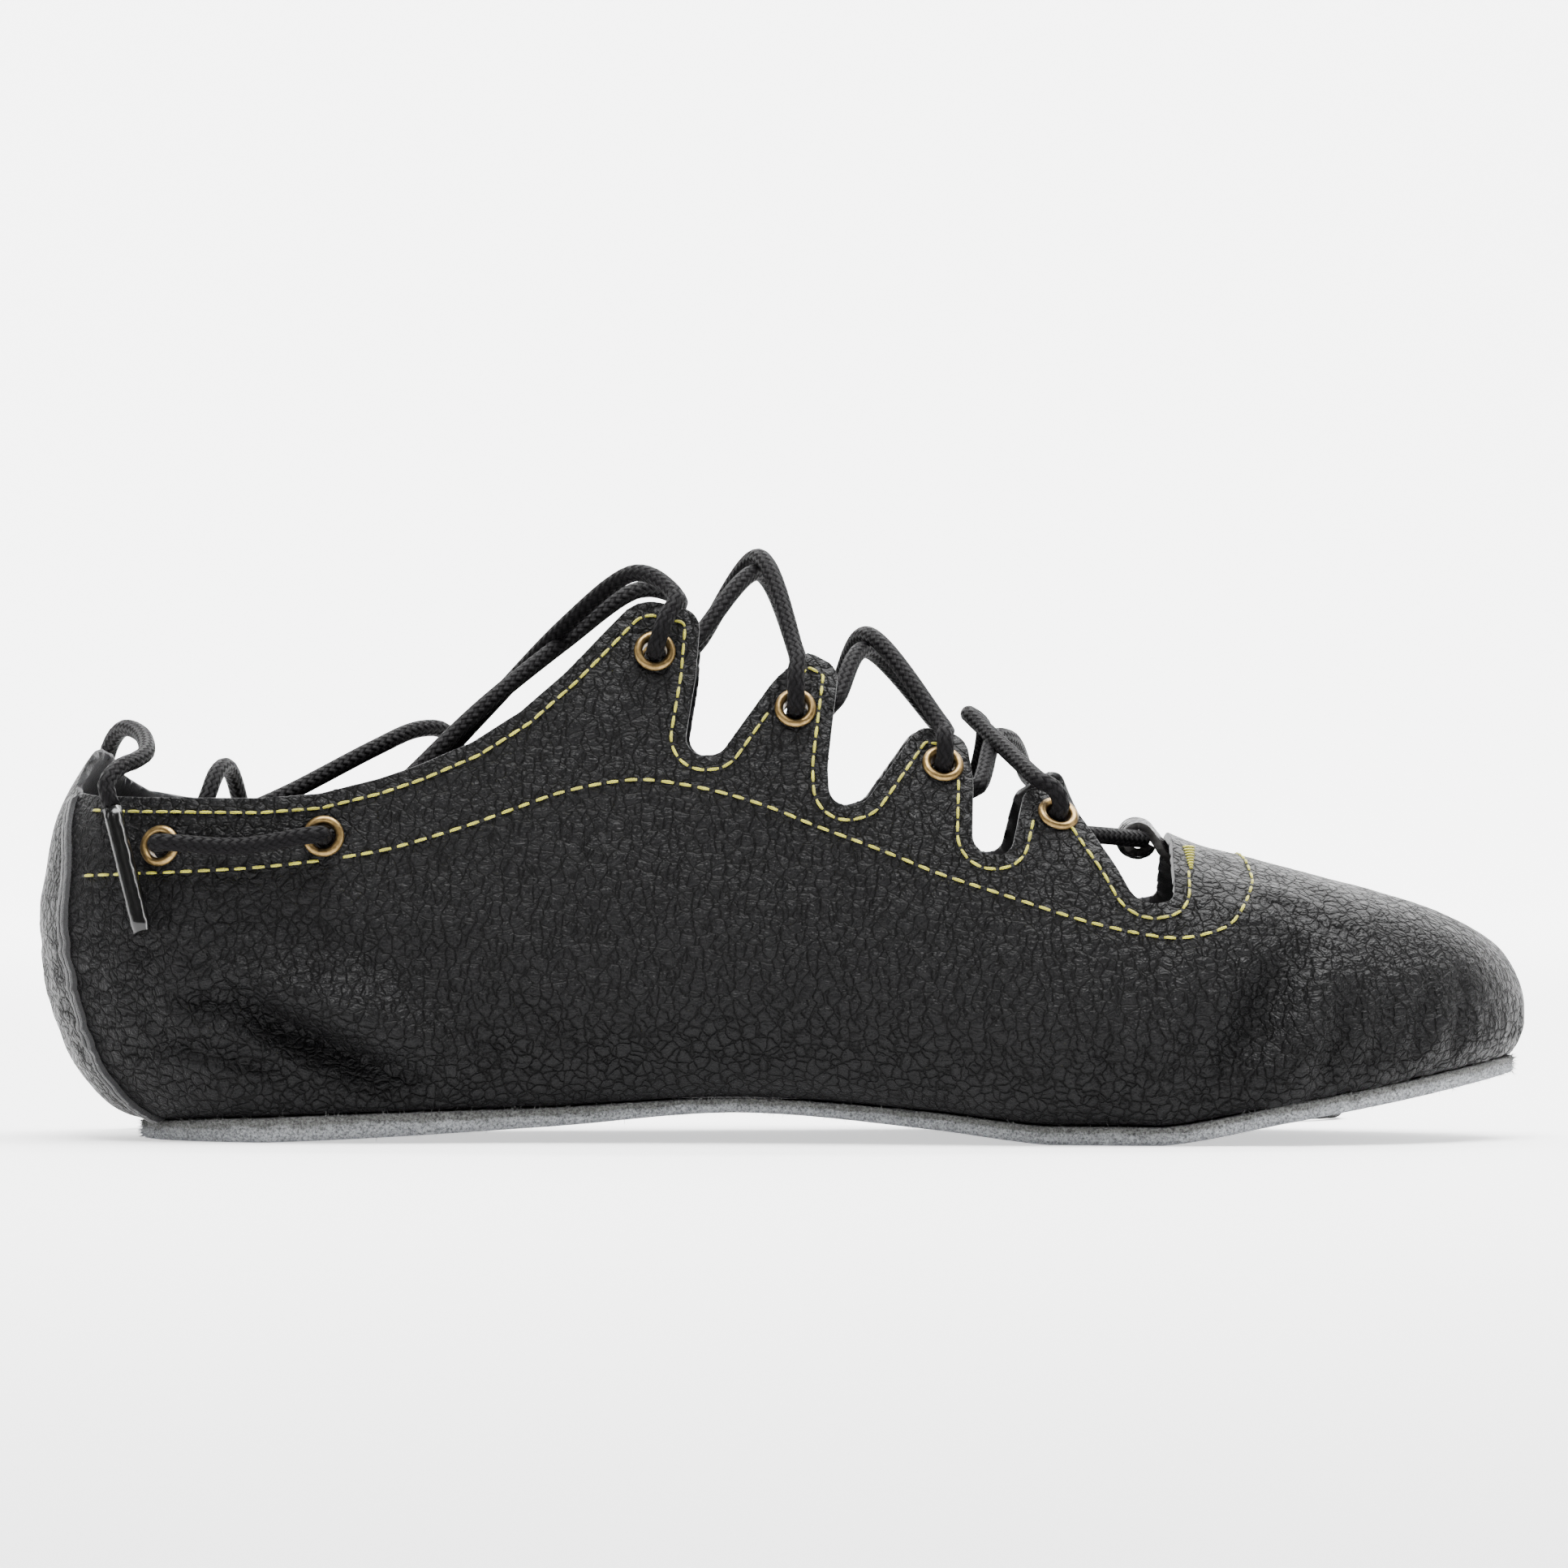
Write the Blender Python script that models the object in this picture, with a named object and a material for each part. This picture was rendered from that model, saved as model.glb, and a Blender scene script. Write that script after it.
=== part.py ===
"""Ghillie dance shoe for a left foot, empty, standing on its sole.

Metres, +Z up. The toe points along +X, and the inner side of the foot, here called near,
lies at -Y. The origin is on the floor under the middle of the shoe.
"""

import math
from collections import namedtuple

import bmesh
import bpy
import numpy as np
from mathutils import Matrix, Vector

MM = 0.001

# Driving sizes of the last
LENGTH = 0.250
BALL_WIDTH = 0.086
INSTEP_HEIGHT = 0.0975
HEEL_HEIGHT = 0.0630

# Thicknesses and clearances
WALL = 1.4 * MM
GAP = 0.3 * MM
INSOLE_THICK = 1.0 * MM
TURNED_IN = 5.0 * MM
INSOLE_INSET = 2.6 * MM
SOLE_EDGE = 0.9 * MM
SOLE_BEVEL = 0.6 * MM

# Eyelets and lace
LACE_RADIUS = 1.5 * MM
EYELET_BORE = 2.0 * MM
EYELET_BARREL = 2.35 * MM
EYELET_RIM = 3.5 * MM
EYELET_STEPS = 12
EYELET_SEAT = 0.45 * MM
EYELET_CURL = 0.65 * MM
LACE_SIDES = 8

# Where the lace's middle runs, in millimetres out of the upper's outer face
OUTER_MOUTH = 1.2
MOUTH_RISE = 1.1
OVER_RIM = 3.6
RUN_OUTSIDE = 2.2
RUN_INSIDE = -3.7
UNDER_CURL = -5.7
INNER_MOUTH = -2.75
MOUTH_DEPTH = 1.9

# Meshing of the last
COLUMNS_A_SIDE = 34
SOLE_CROSS_ROWS = 4
LOWER_ROWS = (-1.0, -0.76, -0.5, -0.25)
ROW_STEP, ROW_END = 0.004, 0.001
UPPER_ROWS = (0.0, 0.16, 0.31, 0.46, 0.61, 0.79, 1.0)

NEAR, FAR = -1, 1
SIDES = ((NEAR, "near"), (FAR, "far"))

# One row for each station from heel to toe. x is in percent of the length, near and far are in
# percent of the ball width, and the heights are in percent of what their table names.

# Where the upper meets the sole: rise of the sole's underside and its thickness in millimetres
Feather = namedtuple("Feather", "x near far rise_near rise_far thick")
FEATHER = (
    Feather(-42.9, 0.0, 0.0, 0.0, 0.0, 3.0),
    Feather(-41.2, 15.0, 15.0, -0.1, -0.1, 3.3),
    Feather(-36.4, 26.0, 26.0, -0.1, -0.1, 4.0),
    Feather(-28.0, 28.5, 29.5, 0.7, 0.5, 4.1),
    Feather(-15.5, 25.0, 33.0, 2.6, 2.2, 3.2),
    Feather(-2.5, 22.0, 37.5, 4.8, 3.0, 2.4),
    Feather(9.6, 30.0, 41.5, 2.3, 1.7, 2.9),
    Feather(18.0, 39.5, 44.0, -0.1, -0.1, 3.1),
    Feather(25.0, 43.0, 43.0, 0.0, 0.0, 3.1),
    Feather(33.0, 40.5, 38.5, 3.5, 3.3, 3.1),
    Feather(41.6, 30.0, 28.0, 7.4, 7.2, 3.1),
    Feather(46.8, 15.5, 13.0, 10.0, 9.9, 3.1),
    Feather(48.8, -1.0, 1.0, 10.9, 10.9, 3.0),
)

# The widest line round the upper: height in percent of the heel height
Girth = namedtuple("Girth", "x near far height")
GIRTH = (
    Girth(-50.1, 0.0, 0.0, 61.0),
    Girth(-47.6, 21.0, 21.0, 58.0),
    Girth(-41.0, 32.0, 32.0, 52.0),
    Girth(-29.8, 34.5, 35.0, 45.0),
    Girth(-16.0, 35.5, 38.5, 42.0),
    Girth(-2.0, 37.5, 43.5, 41.0),
    Girth(10.0, 44.5, 48.5, 36.0),
    Girth(18.0, 49.0, 50.0, 33.0),
    Girth(25.0, 49.8, 48.0, 31.0),
    Girth(33.0, 46.5, 43.0, 30.0),
    Girth(42.2, 35.5, 32.5, 31.0),
    Girth(47.6, 20.0, 17.5, 33.5),
    Girth(49.9, -1.0, 1.0, 35.7),
)

# The crest along the top, closed over the ankle until the openings are cut: its height in
# percent of the instep height, and how square the shoulders under it are, 2 for an ellipse
Crest = namedtuple("Crest", "x side height shoulder")
CREST = (
    Crest(-38.8, 0.0, 77.0, 2.0),
    Crest(-37.2, 0.0, 79.0, 2.0),
    Crest(-33.6, 0.0, 85.0, 2.0),
    Crest(-26.4, 0.0, 97.0, 2.0),
    Crest(-15.2, -1.0, 115.0, 2.0),
    Crest(-3.2, -2.5, 100.0, 2.0),
    Crest(8.8, -4.5, 79.5, 2.1),
    Crest(18.0, -6.0, 66.5, 2.1),
    Crest(25.0, -7.0, 53.9, 2.3),
    Crest(31.2, -7.0, 48.0, 2.3),
    Crest(37.2, -6.0, 44.0, 2.2),
    Crest(41.2, -5.0, 40.6, 2.1),
    Crest(43.4, -4.0, 38.0, 2.0),
)

# Side outline of the collar and throat: the corners in millimetres, each with its rounding
Corner = namedtuple("Corner", "name x z radius")
OUTLINE = (
    Corner("behind_heel", -140.0, 65.2, 0.0),
    Corner("collar_back", -113.5, 57.4, 12.0),
    Corner("collar_side", -77.0, 57.3, 60.0),
    Corner("collar_rise", -46.8, 67.4, 60.0),
    Corner("tab_1_back", -24.2, 90.8, 6.5),
    Corner("tab_1_front", -13.8, 88.3, 3.6),
    Corner("tab_1_waist", -14.6, 77.5, 12.0),
    Corner("notch_1_back", -16.8, 64.3, 3.0),
    Corner("notch_1_front", -10.6, 64.6, 3.2),
    Corner("tab_2_back", -2.0, 76.6, 8.0),
    Corner("tab_2_tip", 3.6, 82.0, 2.6),
    Corner("tab_2_front", 9.2, 79.2, 3.2),
    Corner("tab_2_waist", 7.2, 62.5, 14.0),
    Corner("notch_2_back", 7.6, 55.2, 3.2),
    Corner("notch_2_front", 13.6, 56.8, 3.4),
    Corner("tab_3_tip", 22.4, 69.4, 3.2),
    Corner("tab_3_front", 30.4, 67.6, 4.2),
    Corner("tab_3_waist", 31.4, 60.0, 14.0),
    Corner("notch_3_back", 31.0, 47.6, 3.4),
    Corner("notch_3_front", 37.4, 48.4, 2.4),
    Corner("tab_4_back", 39.8, 58.4, 2.2),
    Corner("tab_4_tip", 45.0, 60.2, 3.2),
    Corner("tab_4_waist", 55.0, 45.8, 30.0),
    Corner("notch_4_back", 58.6, 39.4, 5.0),
    Corner("notch_4_front", 64.3, 40.6, 1.6),
    Corner("vamp_edge", 64.6, 52.0, 0.0),
)
# The far side is the same but for these corners
FAR_CORNERS = {
    "behind_heel": Corner("behind_heel", -140.0, 61.0, 0.0),
    "collar_back": Corner("collar_back", -113.0, 65.8, 6.0),
    "collar_side": Corner("collar_side", -96.0, 57.0, 24.0),
    "tab_4_tip": Corner("tab_4_tip", 46.5, 63.0, 2.6),
}
ABOVE_SHOE = 140.0
CUT_OVERLAP = 0.4 * MM
# The gap kept along the middle of the throat, between the tabs of both sides
THROAT_GAP = ((-30.0, -12.0, 50.0), (62.0, 1.0, ABOVE_SHOE))

# Eyelets: centre in the side view, and where the lace leaves over the tab and slips in under it
Tab = namedtuple("Tab", "x z over_x over_z under_x under_z")
TABS = (
    Tab(-21.5, 81.6, -18.6, 90.2, -14.0, 85.6),
    Tab(1.9, 72.1, 1.4, 81.0, 9.4, 75.8),
    Tab(26.3, 62.8, 25.2, 68.4, 33.2, 61.8),
    Tab(45.3, 54.5, 41.0, 59.2, 50.6, 54.0),
)
Side = namedtuple("Side", "name x z")
HEEL_EYELETS = (Side("front", -76.3, 50.9), Side("rear", -103.5, 49.3))

# Where the lace runs between the tabs, in millimetres: the strand from the near side, then the
# one from the far side, for each crossing from the ankle to the toe
CROSSINGS = (
    (((-4.4, -2.0, 97.9),), ((-4.4, -2.0, 95.3),)),
    (((14.0, -3.0, 84.8),), ((14.0, -3.0, 82.2),)),
    (
        ((33.8, -8.6, 68.7), (31.2, -1.0, 71.4), (34.0, 8.0, 68.4)),
        ((39.4, 7.0, 65.8), (37.6, -1.8, 67.4), (35.0, -9.4, 66.8)),
    ),
)

# The bars between the heel-side eyelets: share of the way, sag and distance out in millimetres
BAR_SPOTS = ((0.1, 0.3, 3.6), (0.5, 1.2, 2.2), (0.9, 0.3, 3.6))

# The strands over the ankle lie one on the other, half this far above and below their middle
CROSSING_LIFT = 1.25

# Raised raw edge of the centre-back seam
SEAM_AT = 9.5 * MM
SEAM_HALF_WIDTH = 1.15 * MM
SEAM_EDGE = 0.35 * MM
SEAM_HEIGHT = 0.9 * MM

# Toe loop: a rolled strip, seen from the side, with its tail under the front of the throat
LOOP_X, LOOP_Z = 59.4, 50.4
LOOP_OUTER, LOOP_INNER = 3.5, 2.2
LOOP_TAIL_X, LOOP_TAIL_Z = 71.0, 45.4
LOOP_THICK = 1.3
LOOP_SIDE, LOOP_WIDTH = -5.5, 9.0

AGLET_LENGTH = 22.0
AGLET_RADIUS = 1.7
TIP_GAP = 0.4 * MM

# Mean distance between the points of a strand over the shoe and of a free end, and how much
# closer they stand at its ends
STRAND_SPACING = 4.8 * MM
TOE_RUN_SPACING = 3.2 * MM
FREE_SPACING = 8.8 * MM
CLOSER_AT_ENDS = 0.5

# Routes of the two free ends, in millimetres, from the rear eyelets at the heel
FREE_ENDS = {
    "near": (
        (-97.0, -8.0, 52.0), (-84.0, 3.0, 58.0), (-70.0, 14.0, 65.6), (-62.6, 22.4, 69.0),
        (-57.6, 29.4, 68.0), (-55.0, 34.4, 60.0), (-53.6, 36.0, 44.0), (-52.4, 37.0, 26.0),
        (-51.0, 39.6, 11.0), (-49.0, 47.0, 2.6), (-47.0, 57.0, 1.7), (-48.0, 72.0, 1.7),
        (-47.0, 92.0, 1.7), (-40.0, 108.0, 1.7), (-24.0, 115.5, 1.7), (0.0, 117.0, 1.7),
        (24.0, 114.0, 1.7), (48.0, 110.0, 1.7), (72.0, 108.0, 1.7), (92.0, 99.0, 1.7),
        (98.0, 82.0, 1.7), (88.0, 68.0, 1.7), (68.0, 64.0, 1.7), (50.0, 70.0, 1.7),
        (38.0, 82.0, 1.7), (26.0, 92.0, 1.7),
    ),
    "far": (
        (-101.0, 13.0, 51.0), (-98.5, 15.0, 57.0), (-97.0, 20.0, 61.6), (-95.4, 26.6, 62.4),
        (-94.0, 32.4, 57.4), (-93.0, 35.2, 50.0), (-91.6, 36.0, 36.0), (-90.0, 37.6, 18.0),
        (-87.0, 41.0, 6.0), (-76.0, 47.0, 1.7), (-63.0, 54.0, 1.7), (-59.0, 67.0, 1.7),
        (-67.0, 77.0, 1.7), (-82.0, 80.0, 1.7), (-90.0, 90.0, 1.7), (-82.0, 100.0, 1.7),
        (-68.0, 103.0, 1.7), (-61.0, 112.0, 1.7), (-68.0, 122.0, 1.7), (-86.0, 124.0, 1.7),
        (-103.0, 116.0, 1.7), (-109.0, 98.0, 1.7), (-108.0, 76.0, 1.7), (-108.0, 56.0, 1.7),
        (-109.5, 42.0, 2.6), (-112.6, 31.5, 12.0), (-116.0, 26.0, 28.0), (-117.4, 23.4, 44.0),
        (-117.0, 20.6, 56.0), (-115.4, 16.6, 65.0), (-112.4, 10.4, 69.0), (-108.6, 2.0, 68.0),
        (-107.0, -8.0, 65.2), (-108.4, -13.6, 63.6), (-110.8, -18.4, 62.4),
    ),
}
# The far end's tip hangs against the near side of the heel: x and z of the tip's two ends
HANGING_TIP = ((-110.2, 54.6), (-104.6, 33.6))
HANGING_OUT = 3.3
TIP_LEAD = 4.2 * MM


def clear_scene():
    for thing in list(bpy.data.objects):
        bpy.data.objects.remove(thing, do_unlink=True)


def material(name, colour, roughness, metallic=0.0):
    made = bpy.data.materials.new(name)
    made.use_nodes = True
    shader = made.node_tree.nodes["Principled BSDF"]
    shader.inputs["Base Color"].default_value = (*colour, 1.0)
    shader.inputs["Roughness"].default_value = roughness
    shader.inputs["Metallic"].default_value = metallic
    return made


def new_object(name, mesh, finish):
    thing = bpy.data.objects.new(name, mesh)
    if finish is not None and not mesh.materials:
        mesh.materials.append(finish)
    bpy.context.scene.collection.objects.link(thing)
    return thing


def mesh_object(name, bm, finish, smooth=True):
    bmesh.ops.remove_doubles(bm, verts=bm.verts, dist=0.00001)
    mesh = bpy.data.meshes.new(name)
    bm.to_mesh(mesh)
    bm.free()
    if smooth:
        mesh.shade_smooth()
        mesh.set_sharp_from_angle(angle=math.radians(40))
    return new_object(name, mesh, finish)


def cutter(name, bm):
    bmesh.ops.recalc_face_normals(bm, faces=bm.faces)
    mesh = bpy.data.meshes.new(name)
    bm.to_mesh(mesh)
    bm.free()
    made = new_object(name, mesh, None)
    made.hide_render = True
    made.display_type = "WIRE"
    return made


def cut(thing, other, operation="DIFFERENCE"):
    change = thing.modifiers.new(other.name, "BOOLEAN")
    change.operation = operation
    change.object = other


# The last

def station_knots():
    """Distance along the side of the last to each station, the same for both sides."""
    knots = [0.0]
    for before, row in zip(GIRTH, GIRTH[1:]):
        along = (row.x - before.x) / 100 * LENGTH
        across = ((row.near + row.far) - (before.near + before.far)) / 200 * BALL_WIDTH
        knots.append(knots[-1] + math.hypot(along, across))
    return np.array(knots)


KNOTS = station_knots()
HALF_ROUND = KNOTS[-1]


def loop_curve(near_values, far_values):
    """A smooth closed curve round the last. Its parameter is the distance from the heel,
    below zero on the far side."""
    near_values = np.asarray(near_values, float)
    far_values = np.asarray(far_values, float)
    knots = np.concatenate([KNOTS, 2 * HALF_ROUND - KNOTS[-2:0:-1]])
    values = np.concatenate([near_values, far_values[-2:0:-1]])
    period = 2 * HALF_ROUND
    after = np.roll(knots, -1)
    after[-1] += period
    before = np.roll(knots, 1)
    before[0] -= period
    upright = (-1,) + (1,) * (values.ndim - 1)
    ahead = (np.roll(values, -1, axis=0) - values) / (after - knots).reshape(upright)
    behind = np.roll(ahead, 1, axis=0)
    share = ((after - knots) / (after - before)).reshape(upright)
    slopes = behind * share + ahead * (1 - share)

    def at(distance):
        distance = np.mod(np.asarray(distance, float), period)
        low = np.searchsorted(knots, distance, side="right") - 1
        high = (low + 1) % len(knots)
        span = after[low] - knots[low]
        part = (distance - knots[low]) / span
        if values.ndim > 1:
            span = span[..., None]
            part = part[..., None]
        return (
            (2 * part**3 - 3 * part**2 + 1) * values[low]
            + (part**3 - 2 * part**2 + part) * span * slopes[low]
            + (3 * part**2 - 2 * part**3) * values[high]
            + (part**3 - part**2) * span * slopes[high]
        )

    return at


def sides(rows, across, height):
    """The points of a table for the near and the far side."""
    made = []
    for side, column in SIDES:
        made.append([
            (row.x / 100 * LENGTH, side * across(row, column) / 100 * BALL_WIDTH, height(row, column))
            for row in rows
        ])
    return made


def sole_bottom(row, column):
    return getattr(row, "rise_" + column) * MM


FEATHER_CURVE = loop_curve(*sides(FEATHER, getattr, sole_bottom))
THICK_CURVE = loop_curve([row.thick * MM for row in FEATHER], [row.thick * MM for row in FEATHER])
GIRTH_CURVE = loop_curve(*sides(GIRTH, getattr, lambda row, column: row.height / 100 * HEEL_HEIGHT))
CREST_POINTS = [
    (row.x / 100 * LENGTH, row.side / 100 * BALL_WIDTH, row.height / 100 * INSTEP_HEIGHT)
    for row in CREST
]
CREST_CURVE = loop_curve(CREST_POINTS, CREST_POINTS)
SHOULDER_CURVE = loop_curve([row.shoulder for row in CREST], [row.shoulder for row in CREST])


def outward(distance):
    """Unit vector in plan, square to the sole's edge."""
    step = 0.5 * MM
    along = FEATHER_CURVE(distance + step) - FEATHER_CURVE(distance - step)
    across = np.stack([along[..., 1], -along[..., 0], np.zeros_like(along[..., 0])], axis=-1)
    return across / np.linalg.norm(across, axis=-1, keepdims=True)


def edge_samples():
    """Both edges of the sole, read along their length from heel to toe."""
    around = np.linspace(0, HALF_ROUND, 241)
    return [(FEATHER_CURVE(side * around), THICK_CURVE(around)) for side in (1, -1)]


EDGES = edge_samples()


def sole_height(x, y, share):
    """Height at x, y: share runs from the sole's underside up to its top."""
    heights, across = [], []
    for edge, thick in EDGES:
        level = np.maximum(edge[:, 2], 0.0) + thick * share
        heights.append(np.interp(x, edge[:, 0], level))
        across.append(np.interp(x, edge[:, 0], edge[:, 1]))
    width = np.maximum(across[1] - across[0], 0.1 * MM)
    part = np.clip((y - across[0]) / width, 0, 1)
    return heights[0] * (1 - part) + heights[1] * part


def sole_point(distance, out, share):
    """A point round the sole, this far outside its seam with the upper."""
    point = FEATHER_CURVE(distance) + outward(distance) * out
    point[..., 2] = sole_height(point[..., 0], point[..., 1], share)
    return point


def last_point(distance, row):
    """A point on the upper: row runs from -1 at the sole, over 0 at the widest line, to 1."""
    distance, row = np.broadcast_arrays(np.asarray(distance, float), np.asarray(row, float))
    bottom = sole_point(distance, 0.0, 1.0)
    bottom[..., 2] += GAP
    widest = GIRTH_CURVE(distance)
    crest = CREST_CURVE(distance)
    low = np.clip(row + 1, 0, 1) * math.pi / 2
    high = np.clip(row, 0, 1) * math.pi / 2
    power = 2 / SHOULDER_CURVE(distance)
    out = np.sin(low)[..., None]
    lower = bottom + (widest - bottom) * out
    lower[..., 2] = widest[..., 2] - (widest[..., 2] - bottom[..., 2]) * np.cos(low)
    inwards = (np.maximum(np.cos(high), 0.0) ** power)[..., None]
    upper = crest + (widest - crest) * inwards
    upper[..., 2] = widest[..., 2] + (crest[..., 2] - widest[..., 2]) * np.sin(high) ** power
    return np.where((row > 0)[..., None], upper, lower)


def last_normal(distance, row):
    """Unit vector out of the upper."""
    step = 0.3 * MM
    along = last_point(distance + step, row) - last_point(distance - step, row)
    above = last_point(distance, np.minimum(row + ROW_STEP, 1 - ROW_END))
    below = last_point(distance, np.maximum(row - ROW_STEP, ROW_END - 1))
    up = above - below
    out = np.cross(along, up)
    return out / np.maximum(np.linalg.norm(out, axis=-1, keepdims=True), 1e-12)


def find_on_side(side, x, z):
    """Distance round the last and row of the point that shows at x, z in the side view."""
    goal = np.array([x, z]) * MM
    centre = np.array([HALF_ROUND / 2, 0.2])
    reach = np.array([HALF_ROUND / 2, 0.8])
    for _ in range(9):
        distances = np.clip(centre[0] + np.linspace(-1, 1, 41) * reach[0], 0, HALF_ROUND)
        rows = np.clip(centre[1] + np.linspace(-1, 1, 41) * reach[1], -1, 1)
        grid = np.meshgrid(distances, rows, indexing="ij")
        points = last_point(-side * grid[0], grid[1])
        misses = np.hypot(points[..., 0] - goal[0], points[..., 2] - goal[1])
        best = np.unravel_index(np.argmin(misses), misses.shape)
        centre = np.array([grid[0][best], grid[1][best]])
        reach = reach * 0.3
    return -side * centre[0], centre[1]


def on_upper(side, x, z, out=0.0):
    """The point that shows at x, z in the side view, this many millimetres out of the upper."""
    distance, row = find_on_side(side, x, z)
    point = last_point(distance, row) + last_normal(distance, row) * out * MM
    return Vector(point)


def normal_at(side, x, z):
    distance, row = find_on_side(side, x, z)
    return Vector(last_normal(distance, row))


# Upper

def column_distances():
    """Columns round one side of the upper, with the edges of the back seam among them."""
    even = np.linspace(0, HALF_ROUND, COLUMNS_A_SIDE + 1)
    inner = SEAM_HALF_WIDTH - SEAM_EDGE
    seam = SEAM_AT + np.array([-SEAM_HALF_WIDTH, -inner, inner, SEAM_HALF_WIDTH])
    clear = np.abs(even - SEAM_AT) > SEAM_HALF_WIDTH + 1.2 * MM
    clear[0] = clear[-1] = True
    return np.sort(np.concatenate([even[clear], seam]))


def seam_step(distance, row):
    """How far the raw edge of the centre-back seam stands out."""
    flank = (SEAM_HALF_WIDTH - np.abs(distance - SEAM_AT)) / SEAM_EDGE
    fade = np.clip((0.8 - row) / 0.2, 0, 1) * np.clip((row + 1) / 0.2, 0, 1)
    return SEAM_HEIGHT * np.clip(flank, 0, 1) * fade


def upper_shell():
    """The upper as a closed wall, open only underneath."""
    near = column_distances()
    around = np.concatenate([near, -near[-2:0:-1]])
    mirrored = -np.arange(len(around)) % len(around)
    rows = np.array(LOWER_ROWS + UPPER_ROWS)
    grid = np.meshgrid(around, rows, indexing="ij")
    base = last_point(grid[0], grid[1])
    out = last_normal(grid[0], grid[1])
    out[:, -1] += out[mirrored, -1]
    out /= np.linalg.norm(out, axis=-1, keepdims=True)
    turned_in = sole_point(around, -TURNED_IN, 1.0)[:, None, :] + np.array([0, 0, GAP])
    outer = np.concatenate([turned_in, base + out * seam_step(grid[0], grid[1])[..., None]], axis=1)
    inner = np.concatenate([turned_in + np.array([0, 0, WALL]), base - out * WALL], axis=1)
    bm = bmesh.new()
    walls = [[[bm.verts.new(point) for point in column] for column in points] for points in (outer, inner)]
    for i in range(len(around)):
        j = (i + 1) % len(around)
        for low in range(len(rows)):
            outside, inside = walls
            bm.faces.new((outside[i][low], outside[j][low], outside[j][low + 1], outside[i][low + 1]))
            bm.faces.new((inside[i][low + 1], inside[j][low + 1], inside[j][low], inside[i][low]))
        bm.faces.new((walls[1][i][0], walls[1][j][0], walls[0][j][0], walls[0][i][0]))
    return bm


def rounded(corners, step=math.radians(18)):
    """The outline through the corners, each rounded by an arc of its own radius."""
    points = [(corners[0].x, corners[0].z)]
    for before, corner, after in zip(corners, corners[1:], corners[2:]):
        here = Vector((corner.x, corner.z))
        back = (Vector((before.x, before.z)) - here).normalized()
        ahead = (Vector((after.x, after.z)) - here).normalized()
        half = back.angle(ahead) / 2
        middle = here + (back + ahead).normalized() * corner.radius / math.sin(half)
        start = here + back * corner.radius / math.tan(half) - middle
        turn = start.angle_signed(here + ahead * corner.radius / math.tan(half) - middle)
        count = max(2, round(abs(turn) / step))
        for i in range(count + 1):
            angle = -turn * i / count
            spoke = Matrix.Rotation(angle, 2) @ start
            points.append(tuple(middle + spoke))
    points.append((corners[-1].x, corners[-1].z))
    return points


def opening_cutter(side):
    """What the collar and the throat leave open on one side, cut straight through."""
    corners = [FAR_CORNERS.get(c.name, c) if side == FAR else c for c in OUTLINE]
    points = rounded(corners)
    points += [(points[-1][0], ABOVE_SHOE), (points[0][0], ABOVE_SHOE)]
    split = CREST_POINTS[8][1] - side * CUT_OVERLAP
    bm = bmesh.new()
    face = bm.faces.new([bm.verts.new((x * MM, split, z * MM)) for x, z in points])
    wall = bmesh.ops.extrude_face_region(bm, geom=[face])["geom"]
    moved = [v for v in wall if isinstance(v, bmesh.types.BMVert)]
    bmesh.ops.translate(bm, verts=moved, vec=(0, side * BALL_WIDTH, 0))
    return cutter("opening_" + ("near" if side == NEAR else "far"), bm)


def throat_cutter():
    low, high = (Vector(corner) * MM for corner in THROAT_GAP)
    bm = bmesh.new()
    place = Matrix.Translation((low + high) / 2) @ Matrix.Diagonal(high - low).to_4x4()
    bmesh.ops.create_cube(bm, size=1.0, matrix=place)
    return cutter("throat_gap", bm)


def hole_cutter():
    bm = bmesh.new()
    for side in (NEAR, FAR):
        for x, z in [(tab.x, tab.z) for tab in TABS] + [(spot.x, spot.z) for spot in HEEL_EYELETS]:
            turn = normal_at(side, x, z).to_track_quat("Z", "Y").to_matrix().to_4x4()
            place = Matrix.Translation(on_upper(side, x, z)) @ turn
            bmesh.ops.create_cone(
                bm, cap_ends=True, segments=EYELET_STEPS, depth=9 * MM, matrix=place,
                radius1=EYELET_BARREL + GAP, radius2=EYELET_BARREL + GAP,
            )
    return cutter("eyelet_holes", bm)


def make_upper():
    leather = material("black_leather", (0.018, 0.018, 0.02), 0.45)
    upper = mesh_object("upper", upper_shell(), leather)
    for side in (NEAR, FAR):
        cut(upper, opening_cutter(side))
    cut(upper, throat_cutter())
    cut(upper, hole_cutter())
    return upper


# Sole and insole

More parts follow.
